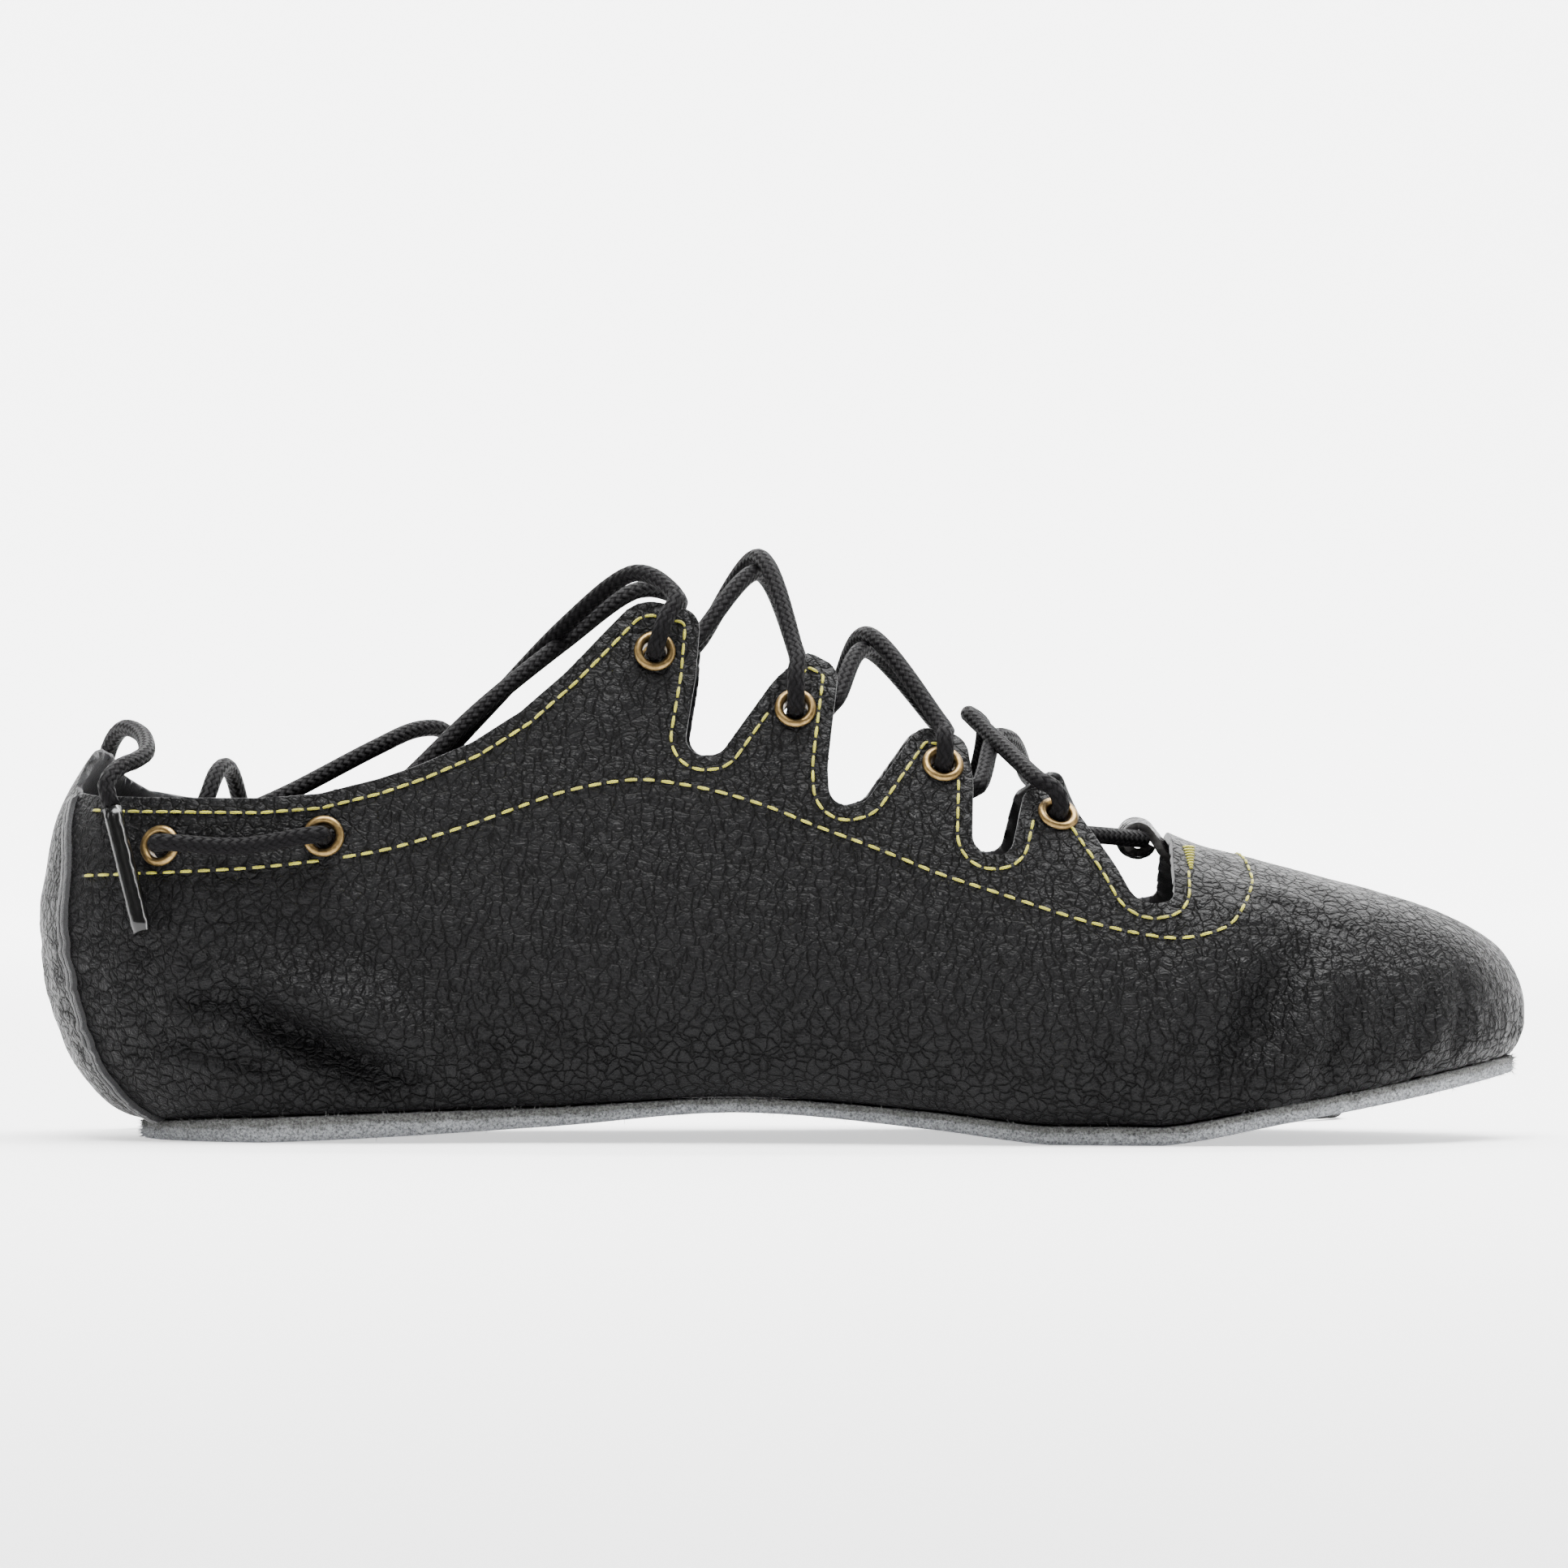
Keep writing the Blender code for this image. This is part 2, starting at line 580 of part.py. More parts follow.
def slab(name, rings, finish):
    """A closed plate. rings are functions of the distance round the last, underside first."""
    near = np.linspace(0, HALF_ROUND, COLUMNS_A_SIDE + 1)
    around = np.concatenate([near, -near[-2:0:-1]])
    count = len(around)
    bm = bmesh.new()
    loops = [[bm.verts.new(point) for point in ring(around)] for ring in rings]
    for lower, higher in zip(loops, loops[1:]):
        for i in range(count):
            j = (i + 1) % count
            bm.faces.new((lower[i], lower[j], higher[j], higher[i]))
    for loop, up in ((loops[0], False), (loops[-1], True)):
        strips = []
        for i in range(COLUMNS_A_SIDE + 1):
            start, end = loop[i], loop[-i % count]
            if start is end:
                strips.append([start] * (SOLE_CROSS_ROWS + 1))
                continue
            inner = [
                bm.verts.new(start.co.lerp(end.co, k / SOLE_CROSS_ROWS))
                for k in range(1, SOLE_CROSS_ROWS)
            ]
            strips.append([start, *inner, end])
        for strip, beside in zip(strips, strips[1:]):
            for k in range(SOLE_CROSS_ROWS):
                corners = []
                for vert in (strip[k], beside[k], beside[k + 1], strip[k + 1]):
                    if vert not in corners:
                        corners.append(vert)
                bm.faces.new(corners if up else corners[::-1])
    return mesh_object(name, bm, finish)


def make_outsole():
    rings = (
        lambda around: sole_point(around, -SOLE_BEVEL, 0.0),
        lambda around: sole_point(around, SOLE_EDGE, 0.4),
        lambda around: sole_point(around, SOLE_EDGE, 1.0),
        lambda around: sole_point(around, -TURNED_IN, 1.0),
    )
    return slab("outsole", rings, material("grey_suede", (0.42, 0.42, 0.41), 0.95))


def make_insole():
    def ring(height):
        def at(around):
            point = sole_point(around, -INSOLE_INSET, 1.0)
            point[:, 2] += height
            return point
        return at

    seat = GAP + WALL + GAP
    rings = (ring(seat), ring(seat + INSOLE_THICK))
    return slab("insole", rings, material("lining_board", (0.05, 0.05, 0.052), 0.9))


# Toe loop

def make_toe_loop():
    """A ring with a tail, as seen from the side, made as wide as the strip."""
    centre = Vector((LOOP_X, LOOP_Z))
    tail = Vector((LOOP_TAIL_X, LOOP_TAIL_Z))
    along = (tail - centre).normalized()
    across = Vector((-along.y, along.x))
    steps = 14
    outer = [
        centre + Matrix.Rotation(math.radians(45 + 315 * i / steps), 2) @ along * LOOP_OUTER
        for i in range(steps + 1)
    ]
    bm = bmesh.new()
    y = (LOOP_SIDE - LOOP_WIDTH / 2) * MM
    root = centre + along * LOOP_OUTER
    points = outer[:-1] + [root - across * 0.1]
    points += [tail - across * LOOP_THICK / 2, tail + across * LOOP_THICK / 2]
    points += [root + across * (LOOP_THICK - 0.1)]
    face = bm.faces.new([bm.verts.new((p.x * MM, y, p.y * MM)) for p in points])
    wall = bmesh.ops.extrude_face_region(bm, geom=[face])["geom"]
    moved = [v for v in wall if isinstance(v, bmesh.types.BMVert)]
    bmesh.ops.translate(bm, verts=moved, vec=(0, LOOP_WIDTH * MM, 0))
    bmesh.ops.recalc_face_normals(bm, faces=bm.faces)
    loop = mesh_object("toe_loop", bm, material("loop_leather", (0.02, 0.018, 0.018), 0.35))
    hole = bmesh.new()
    middle = Matrix.Translation(Vector((LOOP_X, LOOP_SIDE, LOOP_Z)) * MM)
    place = middle @ Matrix.Rotation(math.pi / 2, 4, "X")
    bmesh.ops.create_cone(
        hole, cap_ends=True, segments=12, depth=2 * LOOP_WIDTH * MM, matrix=place,
        radius1=LOOP_INNER * MM, radius2=LOOP_INNER * MM,
    )
    cut(loop, cutter("loop_hole", hole))
    return loop


# Eyelets

def eyelet_profile():
    inside = -(WALL + EYELET_CURL)
    return (
        (EYELET_BORE, EYELET_SEAT + 0.5 * MM),
        (EYELET_RIM - 0.4 * MM, EYELET_SEAT + 0.4 * MM),
        (EYELET_RIM, EYELET_SEAT),
        (EYELET_BARREL, EYELET_SEAT),
        (EYELET_BARREL, inside),
        (EYELET_RIM - 0.5 * MM, inside),
        (EYELET_BORE, inside - 0.5 * MM),
    )


def make_eyelets():
    mesh = bpy.data.meshes.new("eyelet")
    profile = eyelet_profile()
    edges = [(i, (i + 1) % len(profile)) for i in range(len(profile))]
    mesh.from_pydata([(radius, 0, height) for radius, height in profile], edges, [])
    finish = material("antique_brass", (0.32, 0.21, 0.10), 0.35, 1.0)
    places = [(f"tab_{i + 1}", tab.x, tab.z) for i, tab in enumerate(TABS)]
    places += [(f"heel_{spot.name}", spot.x, spot.z) for spot in HEEL_EYELETS]
    for side, word in SIDES:
        for name, x, z in places:
            eyelet = new_object(f"eyelet_{name}_{word}", mesh, finish)
            turned = eyelet.modifiers.new("turned", "SCREW")
            turned.steps = turned.render_steps = EYELET_STEPS
            turned.use_merge_vertices = True
            turned.merge_threshold = 0.00001
            turned.use_smooth_shade = False
            eyelet.location = on_upper(side, x, z)
            eyelet.rotation_mode = "QUATERNION"
            eyelet.rotation_quaternion = normal_at(side, x, z).to_track_quat("Z", "Y")


# Lace

def smooth_route(points, spacing):
    """Points this far apart on average, on a smooth curve through the route's own points."""
    knots = [Vector(p) for p in points]
    ends = [knots[0] * 2 - knots[1]] + knots + [knots[-1] * 2 - knots[-2]]
    fine = []
    for a, b, c, d in zip(ends, ends[1:], ends[2:], ends[3:]):
        for i in range(24):
            t = i / 24
            fine.append(
                ((2 * b) + (c - a) * t + (2 * a - 5 * b + 4 * c - d) * t**2
                 + (3 * b - a - 3 * c + d) * t**3) / 2
            )
    fine.append(knots[-1])
    lengths = np.concatenate([[0], np.cumsum([(q - p).length for p, q in zip(fine, fine[1:])])])
    count = max(2, round(lengths[-1] / spacing))
    share = np.linspace(0, 1, count + 1)
    wanted = (share - CLOSER_AT_ENDS * np.sin(math.tau * share) / math.tau) * lengths[-1]
    columns = np.array([tuple(p) for p in fine])
    return [Vector([np.interp(w, lengths, columns[:, k]) for k in range(3)]) for w in wanted]


def lace_tube(points, radius=LACE_RADIUS, steps=LACE_SIDES):
    """A round tube with flat ends along the points."""
    bm = bmesh.new()
    tangents = [
        (points[min(i + 1, len(points) - 1)] - points[max(i - 1, 0)]).normalized()
        for i in range(len(points))
    ]
    side = tangents[0].orthogonal().normalized()
    rings = []
    for point, tangent in zip(points, tangents):
        side = (side - tangent * side.dot(tangent)).normalized()
        other = tangent.cross(side)
        rings.append([
            bm.verts.new(point + (side * math.cos(a) + other * math.sin(a)) * radius)
            for a in (math.tau * k / steps for k in range(steps))
        ])
    for low, high in zip(rings, rings[1:]):
        for k in range(steps):
            n = (k + 1) % steps
            bm.faces.new((low[k], low[n], high[n], high[k]))
    bm.faces.new(rings[0][::-1])
    bm.faces.new(rings[-1])
    return bm


def mouth(side, x, z, out):
    """A point on an eyelet's axis, this many millimetres out of the upper's outer face."""
    return on_upper(side, x, z) + normal_at(side, x, z) * out * MM



def between(side, a_x, a_z, b_x, b_z, share, out):
    """A point of the side view between two others, this many millimetres out of the upper."""
    return on_upper(side, a_x + (b_x - a_x) * share, a_z + (b_z - a_z) * share, out)


def out_of_tab(side, tab):
    """Out of an eyelet and up over the end of its tab."""
    ends = (tab.x, tab.z, tab.over_x, tab.over_z)
    return [
        mouth(side, tab.x, tab.z, OUTER_MOUTH),
        mouth(side, tab.x, tab.z, OUTER_MOUTH + MOUTH_RISE),
        between(side, *ends, 0.25, OVER_RIM),
        between(side, *ends, 0.5, OVER_RIM),
        between(side, *ends, 1.0, RUN_OUTSIDE),
    ]


def under_tab(side, tab):
    """In under the front of a tab and out to the inner end of its eyelet."""
    ends = (tab.x, tab.z, tab.under_x, tab.under_z)
    return [
        between(side, *ends, 1.0, RUN_INSIDE),
        between(side, *ends, 0.4, UNDER_CURL),
        mouth(side, tab.x, tab.z, INNER_MOUTH - MOUTH_DEPTH),
        mouth(side, tab.x, tab.z, INNER_MOUTH),
    ]


def crossing_strand(side, lower, upper, middle):
    return out_of_tab(side, lower) + [Vector(p) * MM for p in middle] + under_tab(-side, upper)


def joined_strands(name, routes, finish, spacing=STRAND_SPACING):
    """One strand, or two that cross, made one."""
    tubes = [lace_tube(smooth_route(route, spacing)) for route in routes]
    strand = mesh_object(name, tubes[0], finish)
    for tube in tubes[1:]:
        cut(strand, cutter(name + "_other", tube), "UNION")
    return strand


def make_crossings(finish):
    for i, crossing in enumerate(CROSSINGS):
        upper, lower = TABS[i], TABS[i + 1]
        routes = [
            crossing_strand(side, lower, upper, middle)
            for side, middle in zip((NEAR, FAR), crossing)
        ]
        joined_strands(f"lace_crossing_{i + 1}", routes, finish)


def make_toe_run(finish):
    """From tab to tab through the toe loop."""
    half = LOOP_WIDTH / 2 + 1.0
    route = under_tab(NEAR, TABS[3])[::-1]
    route += [Vector((LOOP_X, LOOP_SIDE + k * half, LOOP_Z)) * MM for k in (-1, -0.5, 0.5, 1)]
    route += under_tab(FAR, TABS[3])
    joined_strands("lace_toe_run", [route], finish, TOE_RUN_SPACING)


def ankle_strand(side, lift):
    """From a top tab, across the ankle opening, down to the other side's front heel eyelet."""
    front = HEEL_EYELETS[0]
    route = out_of_tab(side, TABS[0])
    route += [
        Vector((-25.5, side * 11.0, 93.6 + lift)) * MM,
        Vector((-37.0, side * 1.0, 85.0 + lift)) * MM,
        Vector((-51.0, -side * 12.0, 72.0)) * MM,
        on_upper(-side, -64.5, 60.0, RUN_INSIDE - 1.2),
        on_upper(-side, front.x + 3.5, front.z + 2.4, UNDER_CURL),
        mouth(-side, front.x, front.z, INNER_MOUTH - MOUTH_DEPTH),
        mouth(-side, front.x, front.z, INNER_MOUTH),
    ]
    return route


def make_bars(finish):
    """Outside, between the two heel-side eyelets of each side."""
    front, rear = HEEL_EYELETS
    for side, word in SIDES:
        route = [
            mouth(side, front.x, front.z, OUTER_MOUTH),
            mouth(side, front.x, front.z, OUTER_MOUTH + MOUTH_RISE),
        ]
        for share, sag, out in BAR_SPOTS:
            x = front.x + (rear.x - front.x) * share
            z = front.z + (rear.z - front.z) * share - sag
            route.append(on_upper(side, x, z, out))
        route += [
            mouth(side, rear.x, rear.z, OUTER_MOUTH + MOUTH_RISE),
            mouth(side, rear.x, rear.z, OUTER_MOUTH),
        ]
        joined_strands(f"lace_bar_{word}", [route], finish)


def free_end_route(side, word):
    rear = HEEL_EYELETS[1]
    route = [
        mouth(side, rear.x, rear.z, INNER_MOUTH),
        mouth(side, rear.x, rear.z, INNER_MOUTH - MOUTH_DEPTH),
    ]
    route += [Vector(point) * MM for point in FREE_ENDS[word]]
    if side == FAR:
        top, bottom = (on_upper(NEAR, *spot, HANGING_OUT) for spot in HANGING_TIP)
        route += [top + (top - bottom).normalized() * TIP_LEAD, top]
    return route


def make_free_end(side, word, finish, tip_finish):
    route = free_end_route(side, word)
    points = smooth_route(route, FREE_SPACING)
    curve = bpy.data.curves.new(f"lace_end_{word}", "CURVE")
    curve.dimensions = "3D"
    curve.bevel_depth = LACE_RADIUS
    curve.bevel_resolution = 2
    curve.use_fill_caps = True
    spline = curve.splines.new("POLY")
    spline.points.add(len(points) - 1)
    for spot, point in zip(spline.points, points):
        spot.co = (*point, 1.0)
    new_object(f"lace_end_{word}", curve, finish)
    ahead = (route[-1] - route[-2]).normalized()
    start = points[-1] + ahead * TIP_GAP
    stop = start + ahead * AGLET_LENGTH * MM
    tip = lace_tube([start, stop], AGLET_RADIUS * MM)
    mesh_object(f"aglet_{word}", tip, tip_finish)


def main():
    clear_scene()
    make_upper()
    make_outsole()
    make_insole()
    make_toe_loop()
    make_eyelets()
    braid = material("black_braid", (0.02, 0.018, 0.018), 0.8)
    tip = material("clear_tip", (0.25, 0.25, 0.25), 0.2)
    make_crossings(braid)
    make_toe_run(braid)
    ankle = [ankle_strand(NEAR, CROSSING_LIFT), ankle_strand(FAR, -CROSSING_LIFT)]
    joined_strands("lace_crossing_ankle", ankle, braid)
    make_bars(braid)
    for side, word in SIDES:
        make_free_end(side, word, braid, tip)


main()
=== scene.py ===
# Ghillie dance shoe, left foot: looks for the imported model, in metres, toe along +X
import bpy
import bmesh
import math
import numpy as np
from mathutils import Matrix, Vector, noise


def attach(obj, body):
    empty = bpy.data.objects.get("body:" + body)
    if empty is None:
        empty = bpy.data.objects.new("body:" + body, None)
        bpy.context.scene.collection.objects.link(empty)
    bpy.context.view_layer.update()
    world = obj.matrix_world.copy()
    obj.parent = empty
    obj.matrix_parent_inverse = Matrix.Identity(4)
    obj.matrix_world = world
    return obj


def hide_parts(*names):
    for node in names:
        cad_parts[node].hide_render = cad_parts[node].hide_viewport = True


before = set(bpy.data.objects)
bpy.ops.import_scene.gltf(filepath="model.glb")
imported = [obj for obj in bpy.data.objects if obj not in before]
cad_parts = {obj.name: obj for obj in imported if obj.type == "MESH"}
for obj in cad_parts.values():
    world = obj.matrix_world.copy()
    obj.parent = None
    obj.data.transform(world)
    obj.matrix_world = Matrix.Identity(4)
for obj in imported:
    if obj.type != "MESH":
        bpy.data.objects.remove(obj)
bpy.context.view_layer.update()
mm = 0.001
near, far = -1, 1


# camera and backdrop

studio = {
    "cameraDistance": 1.5,
    "cameraHeight": 0.0596,
    "pictureWidth": 0.2647,
    "sensorWidth": 36,
    "clipStart": 0.05,
    "floorFront": -3.2,
    "floorBack": 3.1,
    "floorWidth": 9.0,
    "wallHeight": 4.2,
    "sweepRadius": 0.7,
    "sweepSteps": 24,
    "paperTone": 0.9,
    "paperRoughness": 0.9,
    "paperGlow": 0.9,
    "airGlow": 0.06,
}

print("stage: camera and backdrop")
bpy.ops.object.select_all(action="DESELECT")
bpy.ops.object.camera_add(
    location=(0, -studio["cameraDistance"], studio["cameraHeight"]), rotation=(math.pi / 2, 0, 0)
)
camera = bpy.context.object
camera.name = "camera"
camera.data.sensor_width = studio["sensorWidth"]
camera.data.lens = studio["sensorWidth"] * studio["cameraDistance"] / studio["pictureWidth"]
camera.data.clip_start = studio["clipStart"]
bpy.context.scene.camera = camera


def plainMaterial(name, colour, roughness, metallic=0.0):
    made = bpy.data.materials.new(name)
    made.use_nodes = True
    shader = made.node_tree.nodes["Principled BSDF"]
    shader.inputs["Base Color"].default_value = (*colour, 1)
    shader.inputs["Roughness"].default_value = roughness
    shader.inputs["Metallic"].default_value = metallic
    return made


def addBackdrop():
    # a floor whose back edge sweeps up into a wall
    depth = studio["floorBack"] - studio["floorFront"]
    bpy.ops.mesh.primitive_plane_add(size=1, location=(0, studio["floorFront"] + depth / 2, 0))
    sweep = bpy.context.object
    sweep.name = "paperSweep"
    sweep.scale = (studio["floorWidth"], depth, 1)
    bpy.ops.object.transform_apply(location=True, rotation=False, scale=True)
    bpy.ops.object.mode_set(mode="EDIT")
    shape = bmesh.from_edit_mesh(sweep.data)
    for face in shape.faces:
        face.select_set(False)
    for edge in shape.edges:
        edge.select_set(all(v.co.y > studio["floorBack"] - 0.01 for v in edge.verts))
    bmesh.update_edit_mesh(sweep.data)
    bpy.ops.mesh.extrude_region_move(TRANSFORM_OT_translate={"value": (0, 0, studio["wallHeight"])})
    bpy.ops.object.mode_set(mode="OBJECT")
    bend = sweep.modifiers.new("bend", "BEVEL")
    bend.width = studio["sweepRadius"]
    bend.segments = studio["sweepSteps"]
    bend.limit_method = "ANGLE"
    bpy.ops.object.modifier_apply(modifier="bend")
    bpy.ops.object.shade_smooth()
    paper = plainMaterial("palePaper", (studio["paperTone"],) * 3, studio["paperRoughness"])
    shader = paper.node_tree.nodes["Principled BSDF"]
    shader.inputs["Emission Color"].default_value = (1, 1, 1, 1)
    shader.inputs["Emission Strength"].default_value = studio["paperGlow"]
    sweep.data.materials.append(paper)


addBackdrop()


# lights

lights = {
    # name: place, aim, size x, size y, watts
    "topSoftbox": ((0.1, -0.15, 1.2), (0.0, 0.0, 0.05), 1.3, 0.6, 62),
    "frontSoftbox": ((-0.5, -1.4, 1.3), (0.0, 0.0, 0.04), 0.7, 0.4, 4),
    "leftSoftbox": ((-1.3, -0.2, 0.6), (0.0, 0.0, 0.05), 0.35, 0.7, 4),
    "rightSoftbox": ((1.3, -0.2, 0.65), (0.0, 0.0, 0.05), 0.35, 0.7, 5),
    "wallLight": ((0.0, 1.5, 2.3), (0.0, 3.0, 0.4), 4.0, 0.6, 380),
}


def addLights():
    for name, (place, aim, width, height, watts) in lights.items():
        bpy.ops.object.light_add(type="AREA", location=place)
        lamp = bpy.context.object
        lamp.name = name
        lamp.rotation_euler = (Vector(aim) - Vector(place)).to_track_quat("-Z", "Y").to_euler()
        lamp.data.shape = "RECTANGLE"
        lamp.data.size = width
        lamp.data.size_y = height
        lamp.data.energy = watts
    world = bpy.data.worlds.new("studioAir")
    world.use_nodes = True
    air = world.node_tree.nodes["Background"]
    air.inputs["Color"].default_value = (1, 1, 1, 1)
    air.inputs["Strength"].default_value = studio["airGlow"]
    bpy.context.scene.world = world


addLights()


# helpers for meshes

def makeActive(thing):
    bpy.ops.object.select_all(action="DESELECT")
    thing.select_set(True)
    bpy.context.view_layer.objects.active = thing


def linkPiece(name, mesh, finish=None):
    made = bpy.data.objects.new(name, mesh)
    bpy.context.scene.collection.objects.link(made)
    if finish:
        mesh.materials.append(finish)
    return made


def meshPiece(name, vertices, faces, finish=None, edges=()):
    mesh = bpy.data.meshes.new(name)
    mesh.from_pydata(vertices, edges, faces)
    return linkPiece(name, mesh, finish)


def vertexPlaces(thing):
    co = np.empty(len(thing.data.vertices) * 3)
    thing.data.vertices.foreach_get("co", co)
    return co.reshape(-1, 3)


def placeVertices(thing, points):
    thing.data.vertices.foreach_set("co", np.asarray(points, float).reshape(-1))
    thing.data.update()


def addMap(mesh, name, rowsOf):
    # a UV map that rowsOf works out from the vertex of each corner
    layer = mesh.uv_layers.new(name=name)
    corners = np.empty(len(mesh.loops), int)
    mesh.loops.foreach_get("vertex_index", corners)
    layer.data.foreach_set("uv", rowsOf(corners).reshape(-1))


def gridPiece(name, across, along):
    # a flat grid whose vertices are placed afterwards; returns it with each vertex's column and row
    bpy.ops.object.select_all(action="DESELECT")
    bpy.ops.mesh.primitive_grid_add(x_subdivisions=across, y_subdivisions=along, size=1, location=(0, 0, 0))
    made = bpy.context.object
    made.name = name
    flat = vertexPlaces(made)
    columns = np.rint((flat[:, 0] + 0.5) * across).astype(int)
    rows = np.rint((flat[:, 1] + 0.5) * along).astype(int)
    return made, columns, rows


def mergeAndTurnOut(distance):
    # in edit mode: merges vertices this close and turns all faces outward
    bpy.ops.mesh.select_all(action="SELECT")
    bpy.ops.mesh.remove_doubles(threshold=distance)
    bpy.ops.mesh.normals_make_consistent(inside=False)
    bpy.ops.object.mode_set(mode="OBJECT")


def closeUp(thing, distance, smooth=50):
    makeActive(thing)
    bpy.ops.object.mode_set(mode="EDIT")
    mergeAndTurnOut(distance)
    bpy.ops.object.shade_smooth_by_angle(angle=math.radians(smooth))


def applyModifier(thing, name):
    makeActive(thing)
    bpy.ops.object.modifier_apply(modifier=name)


def softenEdges(thing, width, fromDegrees, clamp=True):
    soft = thing.modifiers.new("softEdge", "BEVEL")
    soft.width = width
    soft.segments = 2
    soft.limit_method = "ANGLE"
    soft.angle_limit = math.radians(fromDegrees)
    soft.use_clamp_overlap = clamp
    applyModifier(thing, "softEdge")


def unitRows(vectors):
    # each row made one unit long
    return vectors / np.maximum(np.linalg.norm(vectors, axis=-1, keepdims=True), 1e-12)


def noiseAt(points, frequency, shift=(0, 0, 0)):
    return np.array([noise.noise(Vector(p) * frequency + Vector(shift)) for p in points])


def settle(thing, slotName, *nodes):
    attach(thing, "root")
    if nodes:
        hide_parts(*nodes)


# the last: the same form that the model's leather follows

last = {
    "length": 0.250,
    "ballWidth": 0.086,
    "instepHeight": 0.0975,
    "heelHeight": 0.0630,
    "wall": 1.4 * mm,
    "gap": 0.3 * mm,
    "normalStep": 0.3 * mm,
    "normalRows": 0.004,
    "lastRow": 0.999,
}
sideSearch = {"rounds": 9, "steps": 25, "narrowing": 0.34, "middleRow": 0.2, "rowReach": 0.8}

# x, near half width, far half width, near rise mm, far rise mm, sole thickness mm
featherRows = (
    (-42.9, 0.0, 0.0, 0.0, 0.0, 3.0),
    (-41.2, 15.0, 15.0, -0.1, -0.1, 3.3),
    (-36.4, 26.0, 26.0, -0.1, -0.1, 4.0),
    (-28.0, 28.5, 29.5, 0.7, 0.5, 4.1),
    (-15.5, 25.0, 33.0, 2.6, 2.2, 3.2),
    (-2.5, 22.0, 37.5, 4.8, 3.0, 2.4),
    (9.6, 30.0, 41.5, 2.3, 1.7, 2.9),
    (18.0, 39.5, 44.0, -0.1, -0.1, 3.1),
    (25.0, 43.0, 43.0, 0.0, 0.0, 3.1),
    (33.0, 40.5, 38.5, 3.5, 3.3, 3.1),
    (41.6, 30.0, 28.0, 7.4, 7.2, 3.1),
    (46.8, 15.5, 13.0, 10.0, 9.9, 3.1),
    (48.8, -1.0, 1.0, 10.9, 10.9, 3.0),
)
# x, near half width, far half width, height
girthRows = (
    (-50.1, 0.0, 0.0, 61.0),
    (-47.6, 21.0, 21.0, 58.0),
    (-41.0, 32.0, 32.0, 52.0),
    (-29.8, 34.5, 35.0, 45.0),
    (-16.0, 35.5, 38.5, 42.0),
    (-2.0, 37.5, 43.5, 41.0),
    (10.0, 44.5, 48.5, 36.0),
    (18.0, 49.0, 50.0, 33.0),
    (25.0, 49.8, 48.0, 31.0),
    (33.0, 46.5, 43.0, 30.0),
    (42.2, 35.5, 32.5, 31.0),
    (47.6, 20.0, 17.5, 33.5),
    (49.9, -1.0, 1.0, 35.7),
)
# x, side, height, squareness of the shoulders
crestRows = (
    (-38.8, 0.0, 77.0, 2.0),
    (-37.2, 0.0, 79.0, 2.0),
    (-33.6, 0.0, 85.0, 2.0),
    (-26.4, 0.0, 97.0, 2.0),
    (-15.2, -1.0, 115.0, 2.0),
    (-3.2, -2.5, 100.0, 2.0),
    (8.8, -4.5, 79.5, 2.1),
    (18.0, -6.0, 66.5, 2.1),
    (25.0, -7.0, 53.9, 2.3),
    (31.2, -7.0, 48.0, 2.3),
    (37.2, -6.0, 44.0, 2.2),
    (41.2, -5.0, 40.6, 2.1),
    (43.4, -4.0, 38.0, 2.0),
)


def girthKnots():
    knots = [0.0]
    for before, row in zip(girthRows, girthRows[1:]):
        along = (row[0] - before[0]) / 100 * last["length"]
        across = ((row[1] + row[2]) - (before[1] + before[2])) / 200 * last["ballWidth"]
        knots.append(knots[-1] + math.hypot(along, across))
    return np.array(knots)


knotPlaces = girthKnots()
halfRound = float(knotPlaces[-1])


def roundCurve(nearValues, farValues):
    # smooth closed curve by the distance round the last, below zero on the far side
    nearValues = np.asarray(nearValues, float)
    farValues = np.asarray(farValues, float)
    knots = np.concatenate([knotPlaces, 2 * halfRound - knotPlaces[-2:0:-1]])
    values = np.concatenate([nearValues, farValues[-2:0:-1]])
    period = 2 * halfRound
    after = np.roll(knots, -1)
    after[-1] += period
    before = np.roll(knots, 1)
    before[0] -= period
    upright = (-1,) + (1,) * (values.ndim - 1)
    ahead = (np.roll(values, -1, axis=0) - values) / (after - knots).reshape(upright)
    behind = np.roll(ahead, 1, axis=0)
    share = ((after - knots) / (after - before)).reshape(upright)
    slopes = behind * share + ahead * (1 - share)

    def at(distance):
        distance = np.mod(np.asarray(distance, float), period)
        low = np.clip(np.searchsorted(knots, distance, side="right") - 1, 0, len(knots) - 1)
        high = (low + 1) % len(knots)
        span = after[low] - knots[low]
        part = (distance - knots[low]) / span
        if values.ndim > 1:
            span = span[..., None]
            part = part[..., None]
        return (
            (2 * part**3 - 3 * part**2 + 1) * values[low]
            + (part**3 - 2 * part**2 + part) * span * slopes[low]
            + (3 * part**2 - 2 * part**3) * values[high]
            + (part**3 - part**2) * span * slopes[high]
        )

    return at


def sidePoints(rows, heightColumns, unit):
    return [
        [(r[0] / 100 * last["length"], side * r[c] / 100 * last["ballWidth"], r[h] * unit) for r in rows]
        for side, c, h in ((near, 1, heightColumns[0]), (far, 2, heightColumns[1]))
    ]


